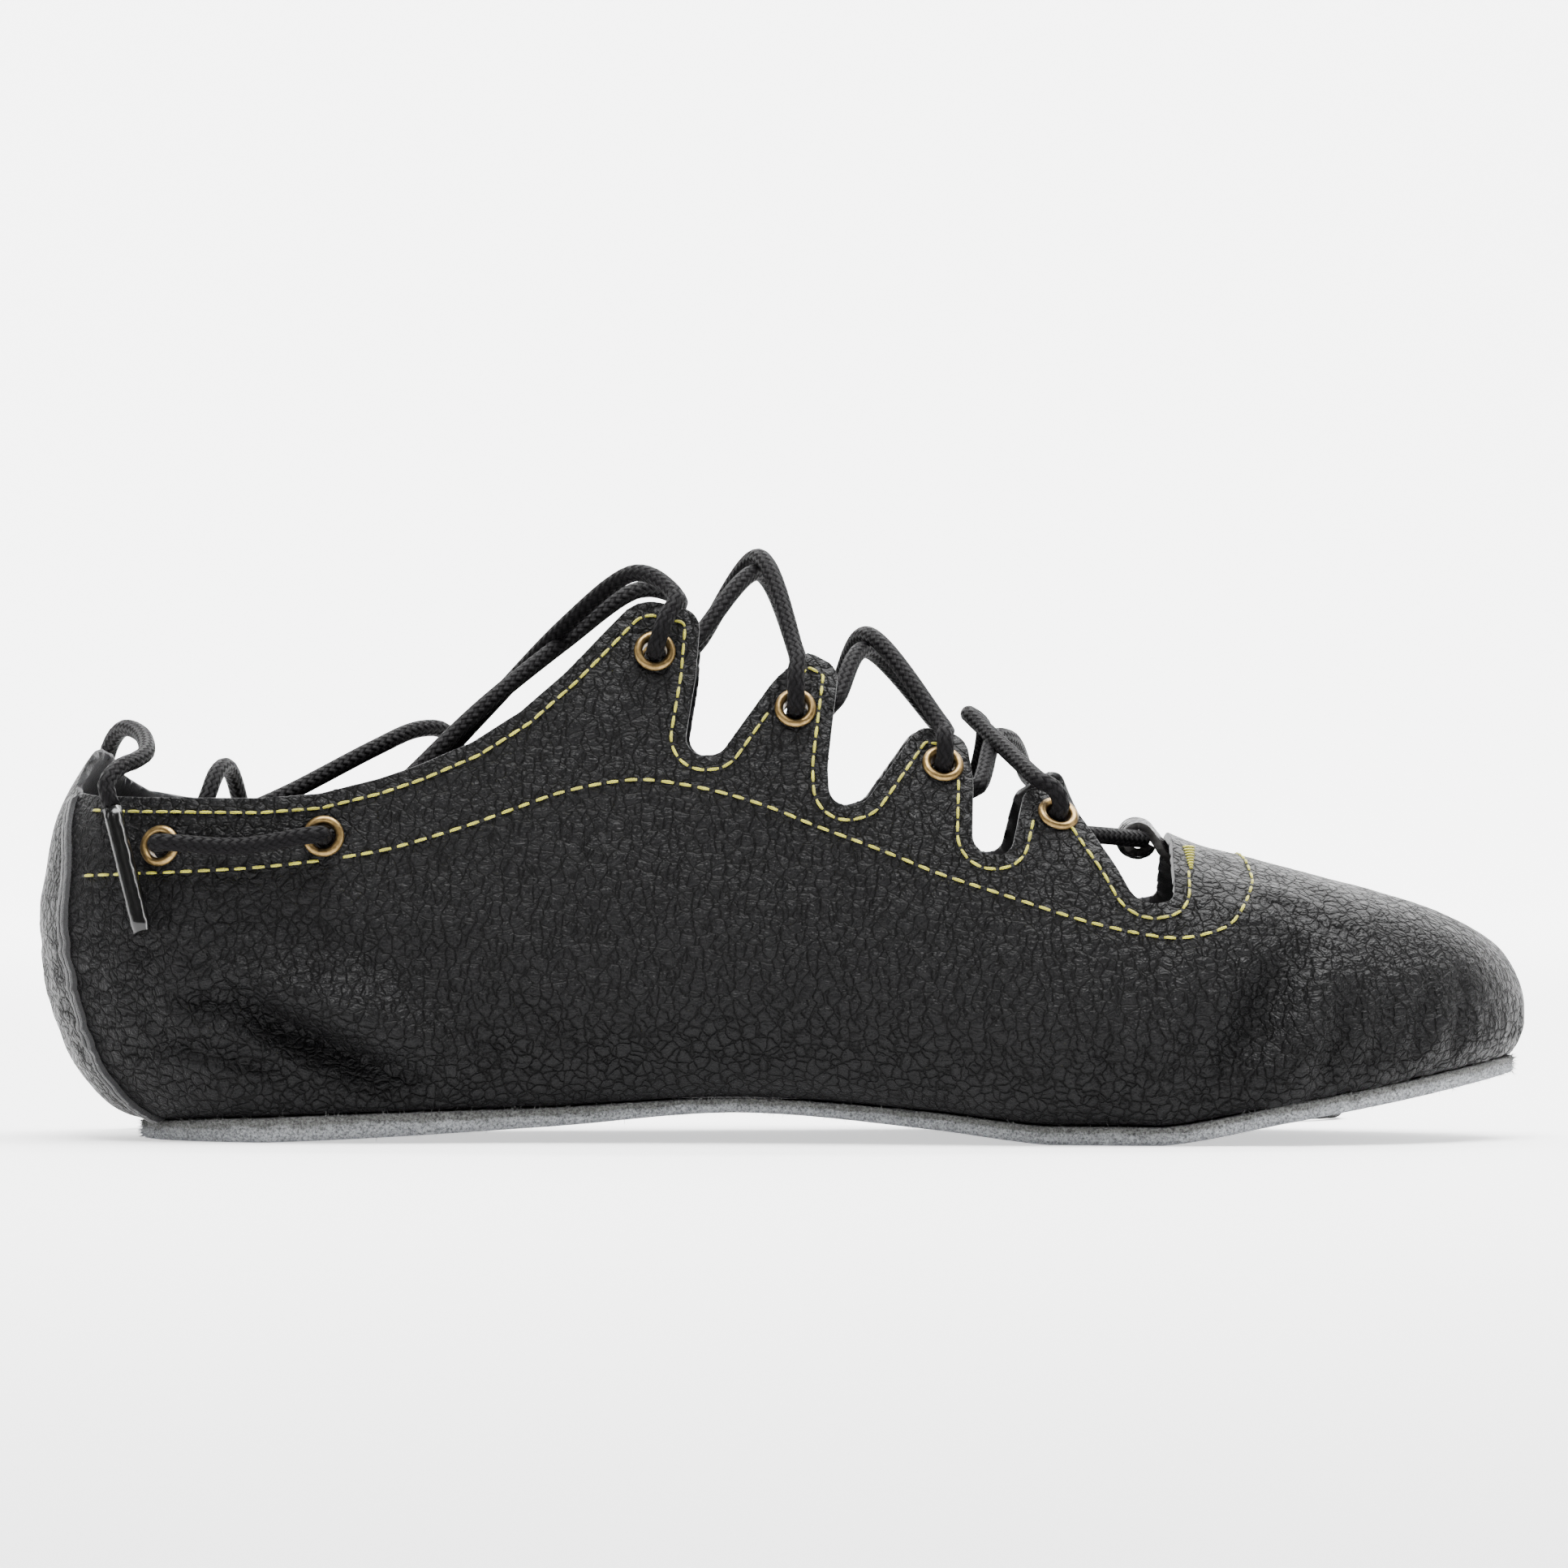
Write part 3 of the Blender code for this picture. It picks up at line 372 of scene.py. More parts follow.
featherCurve = roundCurve(*sidePoints(featherRows, (3, 4), mm))
thickCurve = roundCurve([r[5] * mm for r in featherRows], [r[5] * mm for r in featherRows])
girthCurve = roundCurve(*sidePoints(girthRows, (3, 3), last["heelHeight"] / 100))
crestPoints = [
    (r[0] / 100 * last["length"], r[1] / 100 * last["ballWidth"], r[2] / 100 * last["instepHeight"])
    for r in crestRows
]
crestCurve = roundCurve(crestPoints, crestPoints)
shoulderCurve = roundCurve([r[3] for r in crestRows], [r[3] for r in crestRows])


def edgeOut(distance):
    # outward and level, square to the sole's edge
    step = 0.5 * mm
    along = featherCurve(distance + step) - featherCurve(distance - step)
    return unitRows(np.stack([along[..., 1], -along[..., 0], np.zeros_like(along[..., 0])], axis=-1))


edgeSteps = np.linspace(0, halfRound, 241)
soleEdges = [(featherCurve(side * edgeSteps), thickCurve(edgeSteps)) for side in (1, -1)]


def soleHeight(x, y, share):
    # height of the sole's underside (share 0) or top (share 1) at a place inside its edge
    heights, across = [], []
    for edge, thick in soleEdges:
        heights.append(np.interp(x, edge[:, 0], np.maximum(edge[:, 2], 0) + thick * share))
        across.append(np.interp(x, edge[:, 0], edge[:, 1]))
    width = np.maximum(across[1] - across[0], 0.1 * mm)
    part = np.clip((y - across[0]) / width, 0, 1)
    return heights[0] * (1 - part) + heights[1] * part


def solePoint(distance, out, share):
    point = featherCurve(distance) + edgeOut(distance) * np.asarray(out, float)[..., None]
    point[..., 2] = soleHeight(point[..., 0], point[..., 1], share)
    return point


def lastPoint(distance, row):
    # row -1 at the sole, 0 at the widest line, 1 at the crest
    distance, row = np.broadcast_arrays(np.asarray(distance, float), np.asarray(row, float))
    bottom = solePoint(distance, np.zeros(distance.shape), 1.0)
    bottom[..., 2] += last["gap"]
    widest = girthCurve(distance)
    crest = crestCurve(distance)
    low = np.clip(row + 1, 0, 1) * math.pi / 2
    high = np.clip(row, 0, 1) * math.pi / 2
    power = 2 / shoulderCurve(distance)
    lower = bottom + (widest - bottom) * np.sin(low)[..., None]
    lower[..., 2] = widest[..., 2] - (widest[..., 2] - bottom[..., 2]) * np.cos(low)
    inwards = (np.maximum(np.cos(high), 0.0) ** power)[..., None]
    upper = crest + (widest - crest) * inwards
    upper[..., 2] = widest[..., 2] + (crest[..., 2] - widest[..., 2]) * np.sin(high) ** power
    return np.where((row > 0)[..., None], upper, lower)


def lastNormal(distance, row):
    step, rise, limit = last["normalStep"], last["normalRows"], last["lastRow"]
    along = lastPoint(distance + step, row) - lastPoint(distance - step, row)
    higher = lastPoint(distance, np.minimum(row + rise, limit))
    lower = lastPoint(distance, np.maximum(row - rise, -limit))
    return unitRows(np.cross(along, higher - lower))


def findOnSide(side, x, z):
    # distance and row of the point that shows at x, z (mm) in the side view
    goal = np.array([x, z]) * mm
    centre = np.array([halfRound / 2, sideSearch["middleRow"]])
    reach = np.array([halfRound / 2, sideSearch["rowReach"]])
    steps = np.linspace(-1, 1, sideSearch["steps"])
    for _ in range(sideSearch["rounds"]):
        distances = np.clip(centre[0] + steps * reach[0], 0, halfRound)
        rows = np.clip(centre[1] + steps * reach[1], -1, 1)
        grid = np.meshgrid(distances, rows, indexing="ij")
        points = lastPoint(-side * grid[0], grid[1])
        misses = np.hypot(points[..., 0] - goal[0], points[..., 2] - goal[1])
        best = np.unravel_index(np.argmin(misses), misses.shape)
        centre = np.array([grid[0][best], grid[1][best]])
        reach = reach * sideSearch["narrowing"]
    return -side * centre[0], centre[1]


def onUpper(side, x, z, out=0.0):
    distance, row = findOnSide(side, x, z)
    return Vector(lastPoint(distance, row) + lastNormal(distance, row) * out * mm)


def normalAt(side, x, z):
    distance, row = findOnSide(side, x, z)
    return Vector(lastNormal(distance, row))


# lace

lace = {
    "radius": 1.45 * mm,
    "sides": 20,
    "step": 1.5 * mm,
    "endStep": 2.0 * mm,
    # from here on millimetres, out of the leather where they are places
    "outerMouth": 1.2,
    "innerMouth": -2.75,
    "mouthRise": 1.1,
    "mouthDepth": 1.9,
    "overRim": 3.6,
    "underCurl": -5.7,
    "runOutside": 2.2,
    "runInside": -3.7,
    "ankleInside": -4.9,
    "ankleLift": 1.25,
    "besideLoop": 1.0,
}
# the bar between the heel eyelets: share of the way, sag, out
barPlaces = ((0.1, 0.3, 3.6), (0.5, 1.2, 2.2), (0.9, 0.3, 3.6))
# middle of a strand over the ankle opening: x, y towards the side that it comes from, z, share of its lift
ankleMiddle = ((-25.5, 11.0, 93.6, 1), (-37.0, 1.0, 85.0, 1), (-51.0, -12.0, 72.0, 0))
# where that strand meets the other side's collar: x, z
ankleMeets = (-64.5, 60.0)
beforeHeelEyelet = (3.5, 2.4)
# eyelet x, z; where the lace goes over the tab x, z; where it slips in under the tab x, z
tabs = (
    (-21.5, 81.6, -18.6, 90.2, -14.0, 85.6),
    (1.9, 72.1, 1.4, 81.0, 9.4, 75.8),
    (26.3, 62.8, 25.2, 68.4, 33.2, 61.8),
    (45.3, 54.5, 41.0, 59.2, 50.6, 54.0),
)
heelFront, heelRear = (-76.3, 50.9), (-103.5, 49.3)
# middle of each crossing: the strand from the near side, then the one from the far side
crossings = (
    (((-4.4, -2.0, 97.9),), ((-4.4, -2.0, 95.3),)),
    (((14.0, -3.0, 84.8),), ((14.0, -3.0, 82.2),)),
    (
        ((33.8, -8.6, 68.7), (31.2, -1.0, 71.4), (34.0, 8.0, 68.4)),
        ((39.4, 7.0, 65.8), (37.6, -1.8, 67.4), (35.0, -9.4, 66.8)),
    ),
)
toeLoop = {"x": 59.4, "z": 50.4, "side": -5.5, "width": 9.0, "outer": 3.5, "inner": 2.2,
           "tailX": 71.0, "tailZ": 45.4, "thick": 1.3, "columns": 34, "rowStep": 0.42,
           "from": 52, "turn": 306, "arcSteps": 26, "pinch": 0.05, "ripple": 0.34, "nearHug": 0.24,
           "droop": 3.6, "edge": 0.2}
freeEnds = {
    near: (
        (-97.0, -8.0, 52.0), (-84.0, 3.0, 58.0), (-70.0, 14.0, 65.6), (-62.6, 22.4, 69.0),
        (-57.6, 29.4, 68.0), (-55.0, 34.4, 60.0), (-53.6, 36.0, 44.0), (-52.4, 37.0, 26.0),
        (-51.0, 39.6, 11.0), (-49.0, 47.0, 2.6), (-47.0, 57.0, 1.7), (-48.0, 72.0, 1.7),
        (-47.0, 92.0, 1.7), (-40.0, 108.0, 1.7), (-24.0, 115.5, 1.7), (0.0, 117.0, 1.7),
        (24.0, 114.0, 1.7), (48.0, 110.0, 1.7), (72.0, 108.0, 1.7), (92.0, 99.0, 1.7),
        (98.0, 82.0, 1.7), (88.0, 68.0, 1.7), (68.0, 64.0, 1.7), (50.0, 70.0, 1.7),
        (38.0, 82.0, 1.7), (26.0, 92.0, 1.7),
    ),
    far: (
        (-101.0, 13.0, 51.0), (-98.5, 15.0, 57.0), (-97.0, 20.0, 61.6), (-95.4, 26.6, 62.4),
        (-94.0, 32.4, 57.4), (-93.0, 35.2, 50.0), (-91.6, 36.0, 36.0), (-90.0, 37.6, 18.0),
        (-87.0, 41.0, 6.0), (-76.0, 47.0, 1.7), (-63.0, 54.0, 1.7), (-59.0, 67.0, 1.7),
        (-67.0, 77.0, 1.7), (-82.0, 80.0, 1.7), (-90.0, 90.0, 1.7), (-82.0, 100.0, 1.7),
        (-68.0, 103.0, 1.7), (-61.0, 112.0, 1.7), (-68.0, 122.0, 1.7), (-86.0, 124.0, 1.7),
        (-103.0, 116.0, 1.7), (-109.0, 98.0, 1.7), (-108.0, 76.0, 1.7), (-108.0, 56.0, 1.7),
        (-109.5, 42.0, 2.6), (-112.6, 31.5, 12.0), (-116.0, 26.0, 28.0), (-117.4, 23.4, 44.0),
        (-117.0, 20.6, 56.0), (-115.4, 16.6, 65.0), (-112.4, 10.4, 69.0), (-108.6, 2.0, 68.0),
        (-107.0, -8.0, 65.2), (-108.4, -13.6, 63.6), (-110.8, -18.4, 62.4),
    ),
}
tip = {"hangsFrom": (-110.2, 54.6), "hangsTo": (-104.6, 33.6), "out": 3.3, "lead": 4.2,
       "length": 22.0, "radius": 1.65, "gap": 0.4, "rings": 12, "endSize": 0.86}


def mouth(side, x, z, out):
    return onUpper(side, x, z) + normalAt(side, x, z) * out * mm


def between(side, a, b, share, out):
    return onUpper(side, a[0] + (b[0] - a[0]) * share, a[1] + (b[1] - a[1]) * share, out)


def outOfTab(side, tab):
    a, b = tab[:2], tab[2:4]
    return [
        mouth(side, *a, lace["outerMouth"]),
        mouth(side, *a, lace["outerMouth"] + lace["mouthRise"]),
        between(side, a, b, 0.25, lace["overRim"]),
        between(side, a, b, 0.5, lace["overRim"]),
        between(side, a, b, 1.0, lace["runOutside"]),
    ]


def underTab(side, tab):
    a, b = tab[:2], tab[4:6]
    return [
        between(side, a, b, 1.0, lace["runInside"]),
        between(side, a, b, 0.4, lace["underCurl"]),
        mouth(side, *a, lace["innerMouth"] - lace["mouthDepth"]),
        mouth(side, *a, lace["innerMouth"]),
    ]


def crossingStrand(side, lower, upper, middle):
    return outOfTab(side, lower) + [Vector(p) * mm for p in middle] + underTab(-side, upper)


def ankleStrand(side, lift):
    middle = [Vector((x, side * y, z + lift * share)) * mm for x, y, z, share in ankleMiddle]
    return outOfTab(side, tabs[0]) + middle + [
        onUpper(-side, *ankleMeets, lace["ankleInside"]),
        onUpper(-side, *(a + b for a, b in zip(heelFront, beforeHeelEyelet)), lace["underCurl"]),
        mouth(-side, *heelFront, lace["innerMouth"] - lace["mouthDepth"]),
        mouth(-side, *heelFront, lace["innerMouth"]),
    ]


def heelBar(side):
    mouths = (lace["outerMouth"], lace["outerMouth"] + lace["mouthRise"])
    made = [mouth(side, *heelFront, out) for out in mouths]
    for share, sag, out in barPlaces:
        x = heelFront[0] + (heelRear[0] - heelFront[0]) * share
        z = heelFront[1] + (heelRear[1] - heelFront[1]) * share - sag
        made.append(onUpper(side, x, z, out))
    return made + [mouth(side, *heelRear, out) for out in mouths[::-1]]


def halfRun(side):
    # from the rear eyelet of one side, over the ankle and down the throat, to the front tab
    other = -side
    route = [mouth(side, *heelRear, lace["innerMouth"])]
    route += heelBar(side)[::-1]
    route += ankleStrand(other, lace["ankleLift"] if other == near else -lace["ankleLift"])[::-1]
    here = other
    for i, crossing in enumerate(crossings):
        middle = crossing[0 if here == far else 1]
        route += crossingStrand(-here, tabs[i + 1], tabs[i], middle)[::-1]
        here = -here
    return route, here


def toeRun():
    half = toeLoop["width"] / 2 + lace["besideLoop"]
    middle = [
        Vector((toeLoop["x"], toeLoop["side"] + k * half, toeLoop["z"])) * mm for k in (-1, -0.5, 0.5, 1)
    ]
    return underTab(near, tabs[-1])[::-1] + middle + underTab(far, tabs[-1])


def smoothRoute(points, spacing):
    # points at even spacing along a smooth curve through the route's own points
    pieces = 24
    knots = [Vector(p) for p in points]
    ends = [knots[0] * 2 - knots[1]] + knots + [knots[-1] * 2 - knots[-2]]
    fine = []
    for a, b, c, d in zip(ends, ends[1:], ends[2:], ends[3:]):
        for i in range(pieces):
            t = i / pieces
            fine.append(
                ((2 * b) + (c - a) * t + (2 * a - 5 * b + 4 * c - d) * t**2
                 + (3 * b - a - 3 * c + d) * t**3) / 2
            )
    fine.append(knots[-1])
    lengths = np.concatenate([[0], np.cumsum([(q - p).length for p, q in zip(fine, fine[1:])])])
    count = max(2, round(lengths[-1] / spacing))
    wanted = np.linspace(0, lengths[-1], count + 1)
    columns = np.array([tuple(p) for p in fine])
    return [Vector([np.interp(w, lengths, columns[:, k]) for k in range(3)]) for w in wanted]


def tubeAlong(name, points, sizes, finish):
    # round tube with flat ends; its UV map holds turns round and millimetres along
    sides = lace["sides"]
    shape = bmesh.new()
    layer = shape.loops.layers.uv.new("alongCord")
    tangents = [
        (points[min(i + 1, len(points) - 1)] - points[max(i - 1, 0)]).normalized() for i in range(len(points))
    ]
    side = tangents[0].orthogonal().normalized()
    rings, run = [], [0.0]
    for i, (point, tangent) in enumerate(zip(points, tangents)):
        side = (side - tangent * side.dot(tangent)).normalized()
        other = tangent.cross(side)
        rings.append([
            shape.verts.new(point + (side * math.cos(a) + other * math.sin(a)) * sizes[i])
            for a in (math.tau * k / sides for k in range(sides))
        ])
        if i:
            run.append(run[-1] + (point - points[i - 1]).length / mm)
    for i, (low, high) in enumerate(zip(rings, rings[1:])):
        for k in range(sides):
            n = (k + 1) % sides
            face = shape.faces.new((low[k], low[n], high[n], high[k]))
            corners = ((k, run[i]), (k + 1, run[i]), (k + 1, run[i + 1]), (k, run[i + 1]))
            for loop, (turn, along) in zip(face.loops, corners):
                loop[layer].uv = (turn / sides, along)
    shape.faces.new(rings[0][::-1])
    shape.faces.new(rings[-1])
    for face in shape.faces:
        face.smooth = len(face.verts) == 4
    mesh = bpy.data.meshes.new(name)
    shape.to_mesh(mesh)
    shape.free()
    return linkPiece(name, mesh, finish)


def newMaterial(name, roughness, metallic=0.0, colour=(0.02, 0.02, 0.02)):
    made = plainMaterial(name, colour, roughness, metallic)
    return made, made.node_tree, made.node_tree.nodes["Principled BSDF"]


def tune(shader, values):
    for name, value in values.items():
        shader.inputs[name].default_value = value


def mathNode(tree, kind, a, b=None):
    made = tree.nodes.new("ShaderNodeMath")
    made.operation = kind
    for i, value in enumerate((a, b)):
        if value is None:
            continue
        if isinstance(value, (int, float)):
            made.inputs[i].default_value = value
        else:
            tree.links.new(value, made.inputs[i])
    return made.outputs[0]


def rampNode(tree, value, stops):
    made = tree.nodes.new("ShaderNodeValToRGB")
    tree.links.new(value, made.inputs[0])
    ramp = made.color_ramp
    while len(ramp.elements) < len(stops):
        ramp.elements.new(0.5)
    for element, (place, colour) in zip(ramp.elements, stops):
        element.position = place
        element.color = (*colour, 1) if len(colour) == 3 else (colour[0],) * 3 + (1,)
    return made.outputs[0]


def bumpNode(tree, height, distance):
    made = tree.nodes.new("ShaderNodeBump")
    made.inputs["Distance"].default_value = distance
    made.inputs["Strength"].default_value = 1.0
    tree.links.new(height, made.inputs["Height"])
    return made.outputs[0]


def noiseNode(tree, vector, scale, detail=3.0, roughness=0.5):
    made = tree.nodes.new("ShaderNodeTexNoise")
    made.inputs["Scale"].default_value = scale
    made.inputs["Detail"].default_value = detail
    made.inputs["Roughness"].default_value = roughness
    tree.links.new(vector, made.inputs["Vector"])
    return made.outputs["Fac"]


def objectPlace(tree, stretch=(1, 1, 1)):
    place = tree.nodes.new("ShaderNodeTexCoord")
    turned = tree.nodes.new("ShaderNodeMapping")
    turned.inputs["Scale"].default_value = stretch
    tree.links.new(place.outputs["Object"], turned.inputs["Vector"])
    return turned.outputs[0]


def uvParts(tree, name):
    # the two numbers of a piece's own UV map
    uv = tree.nodes.new("ShaderNodeUVMap")
    uv.uv_map = name
    split = tree.nodes.new("ShaderNodeSeparateXYZ")
    tree.links.new(uv.outputs[0], split.inputs[0])
    return split.outputs[0], split.outputs[1]


def addScaled(tree, value, other, factor):
    return mathNode(tree, "ADD", value, mathNode(tree, "MULTIPLY", other, factor))


def fromMiddle(tree, value):
    # how far the value's fraction lies from a half
    return mathNode(tree, "ABSOLUTE", mathNode(tree, "SUBTRACT", mathNode(tree, "FRACT", value), 0.5))


# strands round the cord, windings of each in a millimetre, and the fuzz's scale and share
braidLook = {"strands": 8.0, "windings": 0.62, "fuzz": 5200, "fuzzShare": 0.35, "bump": 0.00022}


def braidMaterial():
    # round braid: two sets of strands wind opposite ways, each pair over two and under two
    made, tree, shader = newMaterial("blackBraid", 0.62, colour=(0.011, 0.010, 0.012))
    turns, length = uvParts(tree, "alongCord")
    around = mathNode(tree, "MULTIPLY", turns, braidLook["strands"])
    along = mathNode(tree, "MULTIPLY", length, braidLook["windings"])
    one = mathNode(tree, "ADD", around, along)
    two = mathNode(tree, "SUBTRACT", around, along)
    rise = []
    for value in (one, two):
        part = mathNode(tree, "FRACT", value)
        off = mathNode(tree, "SUBTRACT", part, 0.5)
        square = mathNode(tree, "MULTIPLY", off, off)
        rise.append(mathNode(tree, "SUBTRACT", 0.25, square))
    floors = [mathNode(tree, "FLOOR", value) for value in (one, two)]
    both = mathNode(tree, "ADD", *floors)
    parity = mathNode(tree, "FLOORED_MODULO", both, 2.0)
    top = mathNode(tree, "MULTIPLY", rise[0], parity)
    flipped = mathNode(tree, "SUBTRACT", 1.0, parity)
    low = mathNode(tree, "MULTIPLY", rise[1], flipped)
    weave = mathNode(tree, "MULTIPLY", mathNode(tree, "ADD", top, low), 4.0)
    fuzz = noiseNode(tree, objectPlace(tree), braidLook["fuzz"], 2)
    height = addScaled(tree, weave, fuzz, braidLook["fuzzShare"])
    tree.links.new(bumpNode(tree, height, braidLook["bump"]), shader.inputs["Normal"])
    # the base colour is darker down between the strands: painted shade in the braid's grooves
    shadeBetweenStrands = rampNode(tree, weave, ((0.0, (0.0005, 0.0005, 0.0006)), (1.0, (0.0042, 0.0038, 0.0044))))
    tree.links.new(shadeBetweenStrands, shader.inputs["Base Color"])
    tune(shader, {"Sheen Weight": 0.015, "Sheen Roughness": 0.4, "Specular IOR Level": 0.07})
    return made


def tipMaterial():
    # black cord under a clear film, whose folded edges show as pale lines
    made, tree, shader = newMaterial("clearFilmTip", 0.2, colour=(0.01, 0.01, 0.01))
    turns = uvParts(tree, "alongCord")[0]
    film = noiseNode(tree, objectPlace(tree, (1, 1, 0.35)), 900, 3)
    turn = addScaled(tree, mathNode(tree, "MULTIPLY", turns, 3.0), film, 0.35)
    shades = rampNode(tree, fromMiddle(tree, turn), ((0.0, (0.26,)), (0.03, (0.04,)), (0.09, (0.004,))))
    tree.links.new(shades, shader.inputs["Base Color"])
    tree.links.new(bumpNode(tree, film, 0.0001), shader.inputs["Normal"])
    tune(shader, {"Specular IOR Level": 0.3, "Coat Weight": 0.15, "Coat Roughness": 0.15})
    return made


print("stage: lace")
braid = braidMaterial()
clearFilm = tipMaterial()


def makeFreeEnd(side, word):
    route = [
        mouth(side, *heelRear, lace["innerMouth"]),
        mouth(side, *heelRear, lace["innerMouth"] - lace["mouthDepth"]),
    ]
    route += [Vector(p) * mm for p in freeEnds[side]]
    if side == far:
        top, bottom = (onUpper(near, *tip[k], tip["out"]) for k in ("hangsFrom", "hangsTo"))
        route += [top + (top - bottom).normalized() * tip["lead"] * mm, top]
    points = smoothRoute(route, lace["endStep"])
    cord = tubeAlong("laceEnd" + word, points, [lace["radius"]] * len(points), braid)
    ahead = (route[-1] - route[-2]).normalized()
    start = points[-1] + ahead * tip["gap"] * mm * 0.5
    count = tip["rings"]
    spots = [start + ahead * tip["length"] * mm * i / count for i in range(count + 1)]
    sizes = [tip["radius"] * mm * (1.0 if i < count else tip["endSize"]) for i in range(count + 1)]
    aglet = tubeAlong("laceTip" + word, spots, sizes, clearFilm)
    for piece, node, slotName in (
        (cord, "lace_end_" + word.lower(), "black_braid"), (aglet, "aglet_" + word.lower(), "clear_tip")
    ):
        settle(piece, slotName, node)


def makeLaceRun():
    # the two halves end at the front tabs; the first has to end on the near side
    nearHalf, endsOn = halfRun(near)
    farHalf = halfRun(far)[0]
    if endsOn == far:
        nearHalf, farHalf = farHalf, nearHalf
    points = smoothRoute(nearHalf + toeRun() + farHalf[::-1], lace["step"])
    run = tubeAlong("laceRun", points, [lace["radius"]] * len(points), braid)
    settle(
        run, "black_braid", "lace_crossing_ankle", "lace_crossing_1", "lace_crossing_2", "lace_crossing_3",
        "lace_toe_run", "lace_bar_near", "lace_bar_far",
    )


makeFreeEnd(near, "Near")
makeFreeEnd(far, "Far")
makeLaceRun()


# upper

# side outline of the collar and throat: x, z and rounding in mm, from the heel to the vamp
tabCorners = (
    (-77.0, 57.3, 60.0), (-46.8, 67.4, 60.0),
    (-24.2, 90.8, 6.5), (-13.8, 88.3, 3.6), (-14.6, 77.5, 12.0),
    (-16.8, 64.3, 3.0), (-10.6, 64.6, 3.2),
    (-2.0, 76.6, 8.0), (3.6, 82.0, 2.6), (9.2, 79.2, 3.2), (7.2, 62.5, 14.0),
    (7.6, 55.2, 3.2), (13.6, 56.8, 3.4),
    (22.4, 69.4, 3.2), (30.4, 67.6, 4.2), (31.4, 60.0, 14.0), (31.0, 47.6, 3.4), (37.4, 48.4, 2.4),
    (39.8, 58.4, 2.2), (45.0, 60.2, 3.2), (55.0, 45.8, 30.0), (58.6, 39.4, 5.0), (64.3, 40.6, 1.6),
)
# the far side's front tab has another tip: number of the corner, x, z and rounding
farTabTip = {19: (46.5, 63.0, 2.6)}
vampCorner = (64.6, 53.5)
collar = {
    # height of the collar's edge by the distance round the back of the heel, in mm
    near: ((0.0, 65.3), (3.0, 64.6), (6.0, 61.6), (8.2, 59.4), (12.0, 58.4), (20.0, 57.7), (32.0, 57.4)),
    far: ((0.0, 65.3), (5.0, 65.7), (12.0, 65.0), (20.0, 61.6), (28.0, 58.6), (36.0, 57.4), (44.0, 57.2)),
}
leatherSheet = {
    "columns": 440,
    "rows": 96,
    "rowUnit": 0.045,
    "slab": 4 * mm,
    "cutterReach": 10 * mm,
    "flange": 5.0 * mm,
    "flangeRows": 0.14,
    "flangeSteps": 4,
    "outlineStep": 1.6,
    "holeRadius": 2.45 * mm,
    "holeSides": 28,
    "edgeBevel": 0.28 * mm,
    "bevelFrom": 62,
    # rows from the sole over which the folds grow to their full depth
    "calmRows": 0.22,
}


def roundedOutline(corners, start, end, step=math.radians(9)):
    # straight runs from start to end whose corners are arcs
    rows = [(*start, 0.0)] + list(corners) + [(*end, 0.0)]
    points = [start]
    for before, corner, after in zip(rows, rows[1:], rows[2:]):
        here = Vector(corner[:2])
        back = (Vector(before[:2]) - here).normalized()
        ahead = (Vector(after[:2]) - here).normalized()
        half = back.angle(ahead) / 2
        middle = here + (back + ahead).normalized() * corner[2] / math.sin(half)
        first = here + back * corner[2] / math.tan(half) - middle
        turn = first.angle_signed(here + ahead * corner[2] / math.tan(half) - middle)
        count = max(2, round(abs(turn) / step))
        points += [tuple(middle + Matrix.Rotation(-turn * i / count, 2) @ first) for i in range(count + 1)]
    return points + [end]


def sideOutline(side):
    # collar and throat edge in the side view, from above the heel eyelets to the vamp
    corners = [farTabTip.get(i, corner) if side == far else corner for i, corner in enumerate(tabCorners)]
    heelEnd = collar[side][-1]
    place = lastPoint(-side * heelEnd[0] * mm, rowAtHeight(-side * heelEnd[0] * mm, heelEnd[1]))
    points = roundedOutline(corners, (place[0] / mm, heelEnd[1]), vampCorner)
    dense = [points[0]]
    for (ax, az), (bx, bz) in zip(points, points[1:]):
        count = max(1, round(math.dist((ax, az), (bx, bz)) / leatherSheet["outlineStep"]))
        dense += [(ax + (bx - ax) * i / count, az + (bz - az) * i / count) for i in range(1, count + 1)]
    return dense


def rowAtHeight(distance, z):
    rows = np.linspace(-1, 1, 401)
    heights = lastPoint(np.full(401, distance), rows)[:, 2] / mm
    return float(np.interp(z, heights, rows))


def openingOutline():
    # the whole edge on the flat sheet: distance round the last, and row times rowUnit; it leaves the
    # sheet where it meets the crest in front of the throat
    unit = leatherSheet["rowUnit"]
    crestRow, throatEnds, pastCrest = 0.985, 60, 1.25
    halves = []
    for side in (near, far):
        back = [(-side * d * mm, rowAtHeight(-side * d * mm, z) * unit) for d, z in collar[side]]
        front = []
        for x, z in sideOutline(side)[1:]:
            distance, row = findOnSide(side, x, z)
            front.append((distance, row * unit))
            if row > crestRow and x > throatEnds:
                break
        end = (front[-1][0], unit * pastCrest)
        halves.append(back + front + [end])
    return halves[1][::-1] + halves[0][1:]


def eyeletPlaces():
    # side, its word, name, x and z of all twelve
    spots = [(f"Tab{i + 1}", tab[0], tab[1]) for i, tab in enumerate(tabs)]
    spots += [("HeelFront", *heelFront), ("HeelRear", *heelRear)]
    return [(side, word, name, x, z) for side, word in ((near, "Near"), (far, "Far")) for name, x, z in spots]


